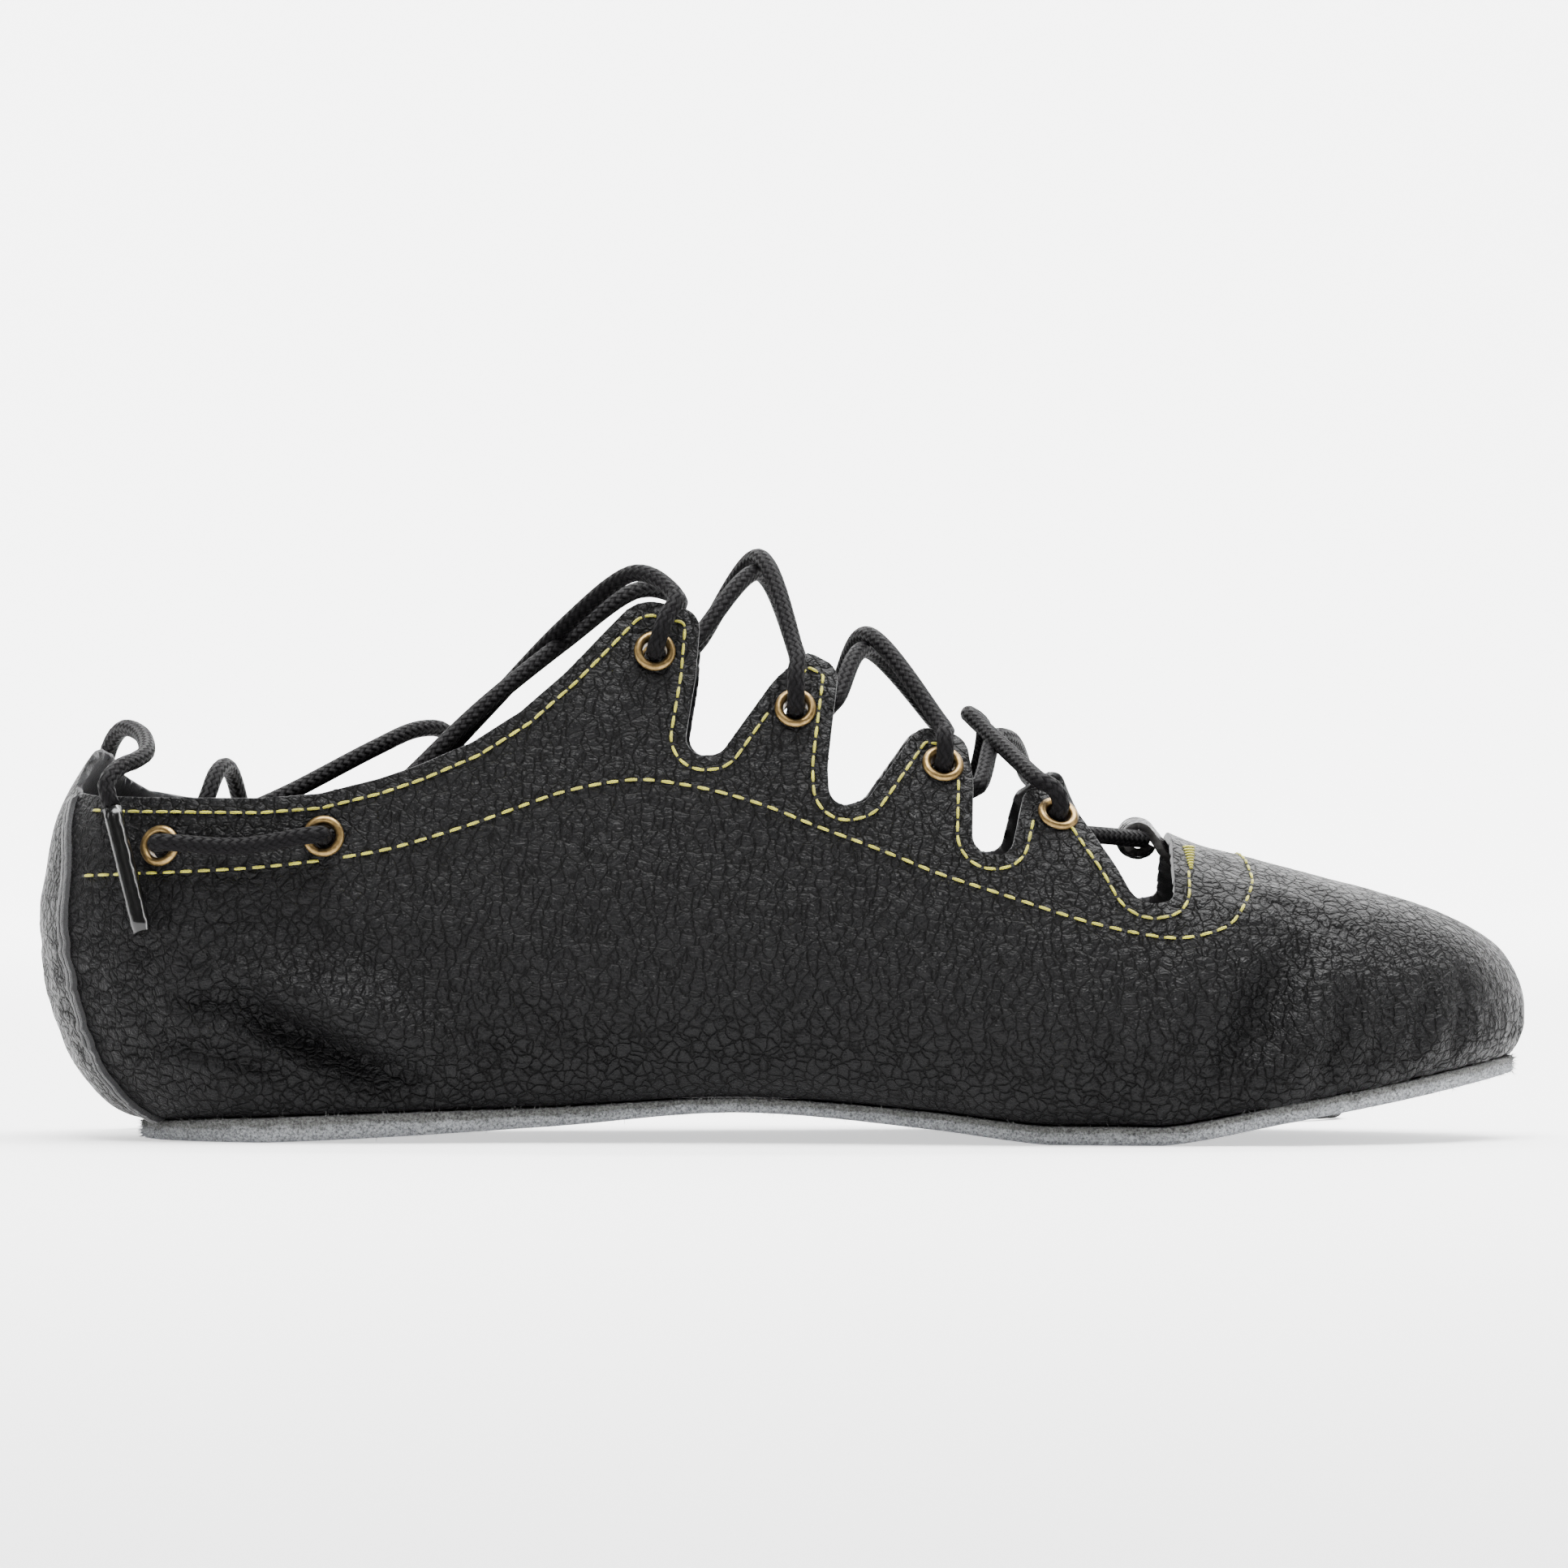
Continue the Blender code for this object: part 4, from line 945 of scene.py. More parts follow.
def holeOutline(side, x, z, radius):
    # the outline of a round hole on the flat sheet
    distance, row = findOnSide(side, x, z)
    step, rise = 0.2 * mm, 0.01
    along = (lastPoint(distance + step, row) - lastPoint(distance - step, row)) / (2 * step)
    up = (lastPoint(distance, row + rise) - lastPoint(distance, row - rise)) / (2 * rise)
    basis = np.stack([along, up], axis=1)
    first = along / np.linalg.norm(along)
    out = lastNormal(distance, row)
    second = np.cross(out, first)
    points = []
    for k in range(leatherSheet["holeSides"]):
        angle = math.tau * k / leatherSheet["holeSides"]
        offset = (first * math.cos(angle) + second * math.sin(angle)) * radius
        change = np.linalg.lstsq(basis, offset, rcond=None)[0]
        points.append((distance + change[0], (row + change[1]) * leatherSheet["rowUnit"]))
    return points


def prismFrom(name, points):
    # a closed prism on the flat sheet's plan
    low, high = -leatherSheet["cutterReach"], leatherSheet["cutterReach"]
    made = meshPiece(name, [(x, y, low) for x, y in points], [tuple(range(len(points)))])
    makeActive(made)
    bpy.ops.object.mode_set(mode="EDIT")
    bpy.ops.mesh.select_all(action="SELECT")
    bpy.ops.mesh.extrude_region_move(TRANSFORM_OT_translate={"value": (0, 0, high - low)})
    bpy.ops.mesh.select_all(action="SELECT")
    bpy.ops.mesh.normals_make_consistent(inside=False)
    bpy.ops.object.mode_set(mode="OBJECT")
    return made


def cutWith(thing, others):
    for other in others:
        change = thing.modifiers.new("cutOut", "BOOLEAN")
        change.operation = "DIFFERENCE"
        change.solver = "MANIFOLD"
        change.object = other
        applyModifier(thing, "cutOut")
        bpy.data.objects.remove(other, do_unlink=True)


def flatSheet(name, cutters):
    # a flat slab, cut to the pattern's outline, of which only the top face is kept
    flange, rowCount = leatherSheet["flangeRows"], leatherSheet["rows"]
    sheet = gridPiece(name, leatherSheet["columns"], rowCount)[0]
    flat = vertexPlaces(sheet)
    flat[:, 0] *= 2 * halfRound
    share = flat[:, 1] + 0.5
    flangeShare = leatherSheet["flangeSteps"] / rowCount
    flat[:, 1] = np.where(
        share < flangeShare - 1e-6,
        -1 - flange + flange * share / flangeShare,
        -1 + 2 * (share - flangeShare) / (1 - flangeShare),
    ) * leatherSheet["rowUnit"]
    placeVertices(sheet, flat)
    slab = sheet.modifiers.new("slab", "SOLIDIFY")
    slab.thickness = leatherSheet["slab"]
    slab.offset = 0
    applyModifier(sheet, "slab")
    cutWith(sheet, cutters)
    bpy.ops.object.mode_set(mode="EDIT")
    shape = bmesh.from_edit_mesh(sheet.data)
    shape.normal_update()
    doomed = [face for face in shape.faces if face.normal.z < 0.5]
    bmesh.ops.delete(shape, geom=doomed, context="FACES")
    bmesh.update_edit_mesh(sheet.data)
    bpy.ops.mesh.select_all(action="SELECT")
    bpy.ops.mesh.remove_doubles(threshold=0.12 * mm)
    bpy.ops.object.mode_set(mode="OBJECT")
    return sheet


# folds, given one by one: name, side, depth mm, half width mm, then x, z along the fold in mm;
# a negative depth is a ridge
folds = (
    ("heelRidge", near, -2.9, 4.6, ((-89.5, 28.2), (-78, 25.0), (-66, 20.5), (-54.6, 16.0))),
    ("heelTrough", near, 3.1, 3.2,
     ((-96.9, 23.4), (-89.8, 24.4), (-82.8, 19.4), (-73.4, 14.6), (-62.6, 10.4))),
    ("heelFoldLow", near, 1.16, 2.2, ((-103, 17.5), (-94, 15.5), (-84, 12.0), (-76, 8.6))),
    ("heelFoldMid", near, 0.87, 1.8, ((-100, 29.0), (-92, 31.5), (-83, 30.0), (-74, 26.5))),
    ("heelFoldTop", near, 0.65, 1.6, ((-104, 38.0), (-94, 36.0), (-86, 37.2))),
    ("archPull", near, 0.72, 3.0, ((-60, 22), (-44, 14), (-30, 9.5))),
    ("archPullTwo", near, 0.65, 2.6, ((-48, 26), (-34, 17), (-22, 11))),
    ("waistLine", near, 0.51, 2.2, ((-66, 33), (-50, 31), (-36, 27))),
    ("jointDent", near, 3.9, 6.0, ((83.0, 30.5), (79.0, 24.5), (76.0, 18.0), (70.0, 9.5))),
    ("jointSide", near, 1.3, 3.0, ((74.0, 33.0), (69.0, 26.0), (67.0, 18.0), (65.0, 11.0))),
    ("jointRidge", near, -1.16, 3.2, ((89.5, 29.0), (86.0, 21.0), (82.0, 12.0))),
    ("toeFoldOne", near, 1.01, 1.8, ((93.0, 25.0), (91.5, 17.0), (88.5, 11.0))),
    ("toeFoldTwo", near, 0.87, 1.6, ((100.0, 25.0), (99.0, 18.0), (96.5, 13.0))),
    ("toeFoldThree", near, 0.72, 1.5, ((106.5, 26.0), (106.0, 19.5), (104.0, 14.5))),
    ("toeFoldFour", near, 0.65, 1.4, ((112.5, 27.0), (112.6, 21.0), (111.0, 16.5))),
    ("ballFoldOne", near, 0.72, 1.6, ((60.5, 20.0), (59.0, 13.0), (57.0, 7.5))),
    ("ballFoldTwo", near, 0.58, 1.5, ((54.0, 17.0), (52.0, 11.0), (50.5, 6.5))),
    ("vampLineOne", near, 0.65, 1.6, ((72.0, 42.5), (84.0, 39.0), (96.0, 33.5))),
    ("vampLineTwo", near, 0.58, 1.5, ((71.0, 46.0), (82.0, 43.0), (93.0, 38.5))),
    ("farHeelTrough", far, 1.74, 3.2, ((-98, 25), (-88, 24), (-78, 18), (-66, 12))),
    ("farHeelRidge", far, -1.59, 3.8, ((-90, 30), (-78, 26), (-66, 20))),
    ("farHeelLow", far, 0.87, 2.0, ((-103, 19), (-92, 15), (-82, 10))),
    ("farJointDent", far, 1.89, 5.5, ((70.0, 29.0), (66.0, 22.0), (62.0, 12.0))),
    ("farToeFoldOne", far, 0.87, 1.8, ((86.0, 26.0), (84.0, 18.0), (81.0, 11.0))),
    ("farToeFoldTwo", far, 0.72, 1.6, ((96.0, 26.0), (95.0, 19.0), (92.0, 12.5))),
    ("farToeFoldThree", far, 0.65, 1.5, ((105.0, 27.0), (105.0, 20.0), (103.0, 14.5))),
    ("farArchPull", far, 0.65, 3.0, ((-40, 24), (-24, 14), (-10, 9))),
)


# power and pinch of the two kinds; height, place in half widths and pinch of the lip; how the ends fade
foldShape = {"steps": 40, "smoothing": 6, "trough": (1.35, 1.5), "ridge": (2.0, 1.0),
             "lip": 0.28, "lipAt": 1.7, "lipPinch": 2.2,
             "fadeSpan": 0.88, "fadeFrom": 0.06, "fadePower": 0.6}


def runLengths(path):
    # the way from the path's start to each of its points
    return np.concatenate([[0], np.cumsum(np.linalg.norm(np.diff(path, axis=0), axis=1))])


def foldHeights(points, side):
    # how far the leather moves out at each point, from the folds of its side
    x, z = points[:, 0] / mm, points[:, 2] / mm
    total = np.zeros(len(points))
    for _, foldSide, depth, width, path in folds:
        path = np.array(path, float)
        lengths = runLengths(path)
        steps = np.linspace(0, lengths[-1], foldShape["steps"])
        # a smooth path through the fold's own points
        px = np.interp(steps, lengths, path[:, 0])
        pz = np.interp(steps, lengths, path[:, 1])
        for _ in range(foldShape["smoothing"]):
            px[1:-1] = (px[:-2] + px[1:-1] * 2 + px[2:]) / 4
            pz[1:-1] = (pz[:-2] + pz[1:-1] * 2 + pz[2:]) / 4
        close = (x > px.min() - 4 * width) & (x < px.max() + 4 * width) & (side == foldSide)
        if not close.any():
            continue
        gaps = np.hypot(x[close, None] - px[None], z[close, None] - pz[None])
        best = gaps.argmin(axis=1)
        gap = gaps.min(axis=1) / width
        along = (best / (foldShape["steps"] - 1)) * foldShape["fadeSpan"] + foldShape["fadeFrom"]
        fade = np.sin(np.pi * np.clip(along, 0, 1)) ** foldShape["fadePower"]
        # a trough is pinched at its bottom and lifts a little on both lips
        power, pinch = foldShape["trough"] if depth > 0 else foldShape["ridge"]
        shape = -np.exp(-(gap ** power) * pinch)
        shape += foldShape["lip"] * np.exp(-((gap - foldShape["lipAt"]) ** 2) * foldShape["lipPinch"])
        total[close] += shape * fade * depth
    return total * mm


def softHeights(points, seed, wave, amount):
    shift = Vector((seed * 7.3, seed * 3.1, seed * 1.7))
    return np.array([noise.noise(Vector(p) / wave + shift) for p in points]) * amount


def slackHeights(points):
    # the leather is soft: broad shallow waves, with longer ones along the sides
    stretched = points * np.array([0.55, 1.0, 1.35])
    return softHeights(stretched, 1, 0.013, 0.42 * mm) + softHeights(points, 2, 0.0055, 0.13 * mm)


wrinkleDepth = {"heel": 0.5, "toe": 0.55}


def grow(value, start, length):
    # 0 at the start and 1 from there on after this length, which is below zero for growing downwards
    return np.clip((value - start) / length, 0, 1)


def ridged(value):
    return (0.5 - np.abs(value)) * 2


def wrinkleHeights(points):
    # close wrinkles: level ones round the heel, upright ones along the lower toe
    x, z = points[:, 0] / mm, points[:, 2] / mm
    heel = grow(x, -62, -30) * grow(z, 44, -12) * grow(z, 6, 8)
    toe = grow(x, 56, 22) * grow(z, 31, -12)
    level = ridged(softHeights(points * np.array([0.32, 0.32, 1.0]), 3, 0.0030, 1.0))
    upright = ridged(softHeights(points * np.array([1.0, 1.0, 0.26]), 4, 0.0028, 1.0))
    return (level * heel * wrinkleDepth["heel"] + upright * toe * wrinkleDepth["toe"]) * mm


def leatherShape(flat, out):
    # wraps points of the flat sheet round the last, this far out of its leather's outer face
    distance = flat[:, 0]
    row = flat[:, 1] / leatherSheet["rowUnit"]
    onWall = row >= -1 - 1e-6
    wall = lastPoint(distance, np.clip(row, -1, 1))
    normals = lastNormal(distance, np.clip(row, -1, 1))
    top = row > 0.9995
    if top.any():
        normals[top] = unitRows(normals[top] + lastNormal(-distance[top], np.clip(row[top], -1, 1)))
    side = np.where(wall[:, 1] < crestCurve(distance)[:, 1], near, far)
    lift = foldHeights(wall, side) + slackHeights(wall) + wrinkleHeights(wall)
    calm = np.clip((row + 1) / leatherSheet["calmRows"], 0, 1)
    points = wall + normals * (lift * calm + out)[:, None]
    turnedIn = np.clip(-1 - row, 0, 1) / leatherSheet["flangeRows"] * leatherSheet["flange"]
    turned = solePoint(distance, -turnedIn, 1.0)
    turned[:, 2] += last["gap"] - out
    return np.where(onWall[:, None], points, turned)


def sheetNormal(flat):
    return lastNormal(flat[:, 0], flat[:, 1] / leatherSheet["rowUnit"])


def wrapSheet(sheet):
    flat = vertexPlaces(sheet)
    addMap(sheet.data, "onSheet", lambda corners: flat[corners, :2] * 10)
    placeVertices(sheet, leatherShape(flat, 0.0))
    bpy.ops.object.mode_set(mode="EDIT")
    mergeAndTurnOut(0.05 * mm)


def thicken(sheet):
    # the leather's wall, inwards from the sheet, with the raw edge a little rounded
    wall = sheet.modifiers.new("wall", "SOLIDIFY")
    wall.thickness = last["wall"]
    wall.offset = -1
    wall.use_even_offset = True
    wall.thickness_clamp = 0.5
    wall.material_offset = 1
    wall.material_offset_rim = 2
    applyModifier(sheet, "wall")
    softenEdges(sheet, leatherSheet["edgeBevel"], leatherSheet["bevelFrom"], clamp=False)
    bpy.ops.object.shade_smooth_by_angle(angle=math.radians(50))


# scales of the grain's cells, of the noise that pushes them about and of the fine wrinkles, and their shares;
# the scale and base of the random patches of painted groove shade, and the tone of that shade
grain = {"cells": (520, 1300), "push": 330, "pushFar": 0.0026, "wrinkles": 520, "fineShare": 0.22,
         "wrinkleShare": 1.5, "shadePatches": 190, "shadePatchBase": 0.42, "grooveShade": 0.12}


def vectorNode(tree, kind, value, other=None):
    made = tree.nodes.new("ShaderNodeVectorMath")
    made.operation = kind
    tree.links.new(value, made.inputs[0])
    if other is not None:
        tree.links.new(other, made.inputs[1])
    return made


def pushedPlace(tree, place):
    # the grain's cells are uneven, so their place is pushed about first
    push = tree.nodes.new("ShaderNodeTexNoise")
    tune(push, {"Scale": grain["push"], "Detail": 2})
    tree.links.new(place, push.inputs["Vector"])
    off = vectorNode(tree, "SUBTRACT", push.outputs["Color"])
    off.inputs[1].default_value = (0.5, 0.5, 0.5)
    less = vectorNode(tree, "SCALE", off.outputs[0])
    less.inputs["Scale"].default_value = grain["pushFar"]
    return vectorNode(tree, "ADD", place, less.outputs[0]).outputs[0]


def pebbleLeather(name, colour, roughness, grainDepth, specular):
    made, tree, shader = newMaterial(name, roughness, colour=colour)
    place = objectPlace(tree)
    moved = pushedPlace(tree, place)
    cells = []
    for scale in grain["cells"]:
        cell = tree.nodes.new("ShaderNodeTexVoronoi")
        cell.feature = "DISTANCE_TO_EDGE"
        cell.inputs["Scale"].default_value = scale
        tree.links.new(moved, cell.inputs["Vector"])
        cells.append(cell.outputs["Distance"])
    coarse = rampNode(tree, cells[0], ((0.0, (0.0,)), (0.09, (0.7,)), (0.38, (1.0,))))
    fine = rampNode(tree, cells[1], ((0.0, (0.0,)), (0.2, (0.8,)), (0.5, (1.0,))))
    wrinkle = noiseNode(tree, objectPlace(tree, (0.45, 0.45, 1.3)), grain["wrinkles"], 4, 0.6)
    height = addScaled(tree, coarse, fine, grain["fineShare"])
    height = addScaled(tree, height, wrinkle, grain["wrinkleShare"])
    tree.links.new(bumpNode(tree, height, grainDepth), shader.inputs["Normal"])
    # the base colour darkens in the grain's grooves: painted shade, deeper or lighter in random patches
    dark = tuple(value * grain["grooveShade"] for value in colour)
    shadePatches = noiseNode(tree, place, grain["shadePatches"], 4)
    depth = mathNode(tree, "MULTIPLY", coarse, mathNode(tree, "ADD", shadePatches, grain["shadePatchBase"]))
    tree.links.new(rampNode(tree, depth, ((0.10, dark), (0.80, colour))), shader.inputs["Base Color"])
    sheen = rampNode(tree, coarse, ((0.0, (roughness + 0.3,)), (1.0, (roughness,))))
    tree.links.new(sheen, shader.inputs["Roughness"])
    tune(shader, {"IOR": 1.24, "Specular IOR Level": specular})
    return made


def fleshMaterial(name, colour, depth=0.00012):
    # the suede side of the leather: short nap
    made, tree, shader = newMaterial(name, 0.95, colour=colour)
    place = objectPlace(tree)
    nap = noiseNode(tree, place, 2600, 4, 0.7)
    patch = noiseNode(tree, place, 120, 3)
    dark = tuple(value * 0.62 for value in colour)
    light = tuple(min(1.0, value * 1.45) for value in colour)
    both = addScaled(tree, mathNode(tree, "MULTIPLY", nap, 0.6), patch, 0.4)
    tree.links.new(rampNode(tree, both, ((0.3, dark), (0.7, light))), shader.inputs["Base Color"])
    tree.links.new(bumpNode(tree, nap, depth), shader.inputs["Normal"])
    tune(shader, {"Sheen Weight": 0.4, "Specular IOR Level": 0.15})
    return made


def makeUpper():
    print("stage: upper leather")
    cutters = [prismFrom("openingPattern", openingOutline())]
    for side, _, _, x, z in eyeletPlaces():
        cutters.append(prismFrom("holePattern", holeOutline(side, x, z, leatherSheet["holeRadius"])))
    sheet = flatSheet("upperLeather", cutters)
    sheet.data.materials.clear()
    sheet.data.polygons.foreach_set("material_index", [0] * len(sheet.data.polygons))
    for finish in (
        pebbleLeather("blackPebbleLeather", (0.0036, 0.0036, 0.0039), 0.36, 0.00045, 0.42),
        fleshMaterial("charcoalFleshSide", (0.020, 0.020, 0.022)),
        fleshMaterial("blackRawEdge", (0.012, 0.012, 0.013)),
    ):
        sheet.data.materials.append(finish)
    wrapSheet(sheet)
    thicken(sheet)
    settle(sheet, "black_leather", "upper")
    print("upper triangles", sum(len(p.vertices) - 2 for p in sheet.data.polygons))


makeUpper()


# back seam: two raw edges that stand out side by side

backSeam = {"stations": 170, "bottomRow": -0.985, "topRow": 0.352, "easing": 0.03, "roughness": 0.16 * mm,
            "roughScale": 900, "roughFrom": 0.3}
# row and millimetres round the near side of the heel
seamPath = (
    (-1.0, 17.0), (-0.86, 19.6), (-0.72, 20.4), (-0.5, 19.6), (-0.3, 19.0), (-0.1, 18.2),
    (0.1, 17.4), (0.2, 15.6), (0.28, 13.0), (0.36, 10.6),
)
seamSection = (
    # millimetres from the seam's middle, millimetres out of the leather
    (-1.15, -0.5), (-1.17, 0.4), (-1.06, 0.82), (-0.6, 0.95), (-0.14, 0.86), (-0.03, 0.42),
    (0.03, 0.42), (0.14, 0.86), (0.6, 0.95), (1.06, 0.82), (1.17, 0.4), (1.15, -0.5),
)


def makeBackSeam(finish):
    print("stage: back seam")
    strip, columns, rows = gridPiece("backSeam", len(seamSection) - 1, backSeam["stations"])
    section = np.array(seamSection)
    share = rows / backSeam["stations"]
    upright = backSeam["bottomRow"] + (backSeam["topRow"] - backSeam["bottomRow"]) * share
    path = np.array(seamPath)
    middle = np.interp(upright, path[:, 0], path[:, 1])
    once = slice(None, None, len(seamSection))
    for _ in range(3):
        below, above = (np.interp(upright + change, upright[once], middle[once])
                        for change in (-backSeam["easing"], backSeam["easing"]))
        middle = (below + middle + above) / 3
    flat = np.zeros((len(rows), 2))
    flat[:, 0] = (middle + section[columns, 0]) * mm
    flat[:, 1] = upright * leatherSheet["rowUnit"]
    fade = np.clip(share / 0.04, 0, 1) * np.clip((1 - share) / 0.01, 0.4, 1)
    out = np.where(section[columns, 1] > 0, section[columns, 1] * fade, section[columns, 1])
    points = leatherShape(flat, out * mm)
    wobble = noiseAt(points, backSeam["roughScale"]) * backSeam["roughness"]
    raised = section[columns, 1] > backSeam["roughFrom"]
    points += sheetNormal(flat) * (wobble * raised)[:, None]
    placeVertices(strip, points)
    strip.data.materials.append(finish)
    closeUp(strip, 0.001 * mm)
    settle(strip, "black_leather")


# stitches: many short bars of one thread, sunk at both ends; sizes in millimetres

stitching = {
    "radius": 0.26, "length": 1.95, "arch": 0.2, "sink": -0.06, "lead": 0.18,
    "edgeInset": 2.5, "edgePitch": 2.55, "lowerPitch": 3.0, "sides": 8, "rings": 9,
    "clearOfEyelet": 4.0, "jitter": (0.0, 0.05, -0.04, 0.02, -0.06, 0.04, -0.02),
}
needleHole = {"radius": 0.34, "back": 0.32, "rim": 0.06, "middle": 0.02, "point": 0.2, "sides": 8}
# where the throat's line of stitches ends: x, z
throatFoot = (60, 46.5)
# distance round the heel, in mm, from which the collar's line of stitches runs
stitchesFrom = {near: 13, far: 3}
bartack = {"bars": 9, "x": 67.4, "z": 45.6, "rise": 0.42, "width": 0.5, "widening": 0.2}
lowerLine = (
    (-116.9, 44.3), (-105.8, 44.8), (-93.8, 45.4), (-84.8, 46.0), (-72.8, 47.5), (-63.8, 49.3), (-51.9, 52.9),
    (-43.6, 55.9), (-35.8, 58.5), (-25.4, 60.3), (-17.7, 59.7), (-10.1, 58.1), (-2.3, 55.7), (5.4, 52.6),
    (15.7, 48.8), (25.9, 44.7), (36.3, 41.3), (47.2, 37.8), (56.6, 35.4), (64.6, 34.3), (70.3, 35.0),
    (74.1, 36.9), (76.6, 40.7), (77.8, 43.9),
)


def smoothFlat(points, spacing):
    # smoothRoute for pairs of numbers
    return [(p.x, p.y) for p in smoothRoute([Vector((x, y, 0)) for x, y in points], spacing)]


def insetLine(points, inset):
    # a line this far inside an edge, without the loops that an inset makes at tight corners
    edge = np.array(points)
    along = unitRows(np.gradient(edge, axis=0))
    made = edge + np.stack([along[:, 1], -along[:, 0]], axis=1) * inset
    gaps = np.hypot(made[:, None, 0] - edge[None, :, 0], made[:, None, 1] - edge[None, :, 1]).min(axis=1)
    return [tuple(p) for p in made[gaps > inset * 0.965]]


def stitchPath(side, points):
    # places of side view points on the flat sheet
    found = [findOnSide(side, x, z) for x, z in points]
    return np.array([(d, r * leatherSheet["rowUnit"]) for d, r in found])


def threadRun(flat):
    # a stitch's middle line on the leather, with the way out at each of its points
    return leatherShape(flat, 0.0), sheetNormal(flat)


def stitchesAlong(path, pitch):
    # the stitches along a path on the flat sheet, a little uneven in length
    wrapped = leatherShape(path, 0.0)
    lengths = runLengths(wrapped)
    count = int(lengths[-1] / (pitch * mm))
    made = []
    for i in range(count):
        start = (i + stitching["lead"]) * lengths[-1] / count
        shares = np.linspace(0, 1, stitching["rings"])
        longer = 1 + stitching["jitter"][i % len(stitching["jitter"])]
        at = start + shares * stitching["length"] / pitch * lengths[-1] / count * longer
        made.append(threadRun(np.stack([np.interp(at, lengths, path[:, k]) for k in (0, 1)], axis=1)))
    return made


def stitchMesh(name, runs, finish):
    # every stitch is the same bar of thread: rings round its middle line, closed at both ends
    rings, sides = stitching["rings"], stitching["sides"]
    shares = np.linspace(0, 1, rings)
    rise = stitching["sink"] + stitching["arch"] * np.clip(1 - (2 * shares - 1) ** 2, 0, 1) ** 0.45
    size = stitching["radius"] * np.clip(np.sin(np.pi * np.clip(shares, 0.03, 0.97)), 0.25, 1) ** 0.22
    angles = math.tau * np.arange(sides) / sides
    vertices, faces, corners = [], [], []
    for middle, outward in runs:
        across = np.cross(outward, unitRows(np.gradient(middle, axis=0)))
        base = len(vertices)
        for k in range(rings):
            centre = middle[k] + outward[k] * rise[k] * mm
            for a in angles:
                vertices.append(centre + (across[k] * math.cos(a) + outward[k] * math.sin(a)) * size[k] * mm)
        for k in range(rings - 1):
            for s in range(sides):
                n = (s + 1) % sides
                faces.append((base + k * sides + s, base + (k + 1) * sides + s,
                              base + (k + 1) * sides + n, base + k * sides + n))
                here, there = s / sides, (s + 1) / sides
                corners += [(here, k), (here, k + 1), (there, k + 1), (there, k)]
        faces.append(tuple(base + s for s in range(sides)))
        faces.append(tuple(base + (rings - 1) * sides + s for s in reversed(range(sides))))
        corners += [(0, 0)] * (2 * sides)
    made = meshPiece(name, vertices, faces, finish)
    layer = made.data.uv_layers.new(name="alongThread")
    layer.data.foreach_set("uv", np.array(corners, float).reshape(-1))
    closeUp(made, 0.0005 * mm, 60)
    return made


def makeNeedleHoles(runs, finish):
    # a dark pit before each stitch, its darkness painted shade in the hole: an eight-sided disc, a little
    # sunk in the middle, with a point below
    radius, sides = needleHole["radius"] * mm, needleHole["sides"]
    rim, middleOut, point = (needleHole[key] * mm for key in ("rim", "middle", "point"))
    angles = math.tau * np.arange(sides) / sides
    vertices, faces = [], []
    for middle, outward in runs:
        along = (middle[-1] - middle[0]) / np.linalg.norm(middle[-1] - middle[0])
        out = outward[0]
        across = np.cross(out, along)
        centre = middle[0] - along * needleHole["back"] * mm
        base = len(vertices)
        vertices += [centre + out * middleOut, centre - out * point]
        for a in angles:
            vertices.append(centre + (along * math.cos(a) + across * math.sin(a)) * radius + out * rim)
        for k in range(sides):
            here, there = base + 2 + k, base + 2 + (k + 1) % sides
            faces += [(base, here, there), (base + 1, there, here)]
    settle(meshPiece("needleHoles", vertices, faces, finish), "black_leather")


def threadMaterial():
    made, tree, shader = newMaterial("yellowThread", 0.55, colour=(0.55, 0.52, 0.05))
    # three plies that wind round the thread
    turns, ring = uvParts(tree, "alongThread")
    ply = fromMiddle(tree, addScaled(tree, mathNode(tree, "MULTIPLY", turns, 3.0), ring, 0.55))
    patch = noiseNode(tree, objectPlace(tree), 420, 2)
    both = mathNode(tree, "ADD", ply, patch)
    # the base colour is darker in the grooves between the plies, which is painted shade, and also in random
    # patches
    tree.links.new(rampNode(tree, both, ((0.35, (0.56, 0.53, 0.025)), (0.95, (0.24, 0.22, 0.006)))),
              shader.inputs["Base Color"])
    tree.links.new(bumpNode(tree, ply, 0.00012), shader.inputs["Normal"])
    shader.inputs["Sheen Weight"].default_value = 0.2
    return made


def edgeStitches(side):
    # one line inside the collar and throat, and one lower down; none lies over an eyelet's rim
    rows = [(x, z) for x, z in sideOutline(side) if z < throatFoot[1] or x < throatFoot[0]]
    inset = stitching["edgeInset"]
    front = stitchPath(side, insetLine(rows, inset)[2:])
    # the collar's part of the line starts beside the seam
    back = [(-side * d * mm, rowAtHeight(-side * d * mm, z - inset) * leatherSheet["rowUnit"])
            for d, z in collar[side] if d > stitchesFrom[side]]
    lower = stitchPath(side, smoothFlat(lowerLine, 2.0))
    runs = stitchesAlong(np.vstack([np.array(back), front]), stitching["edgePitch"])
    runs += stitchesAlong(lower, stitching["lowerPitch"])
    rims = [np.array(onUpper(side, x, z)) for at, _, _, x, z in eyeletPlaces() if at == side]
    half = stitching["rings"] // 2
    clear = stitching["clearOfEyelet"] * mm
    return [run for run in runs if min(np.linalg.norm(run[0][half] - rim) for rim in rims) > clear]


def bartackRuns(side):
    # bars over each other at the end of the throat, each wider than the one below
    runs = []
    steps = np.arange(stitching["rings"]) / (stitching["rings"] - 1)
    for i in range(bartack["bars"]):
        z = bartack["z"] + i * bartack["rise"]
        width = bartack["width"] + i * bartack["widening"]
        bar = [(bartack["x"] - width / 2 + width * step, z) for step in steps]
        runs.append(threadRun(stitchPath(side, bar)))
    return runs


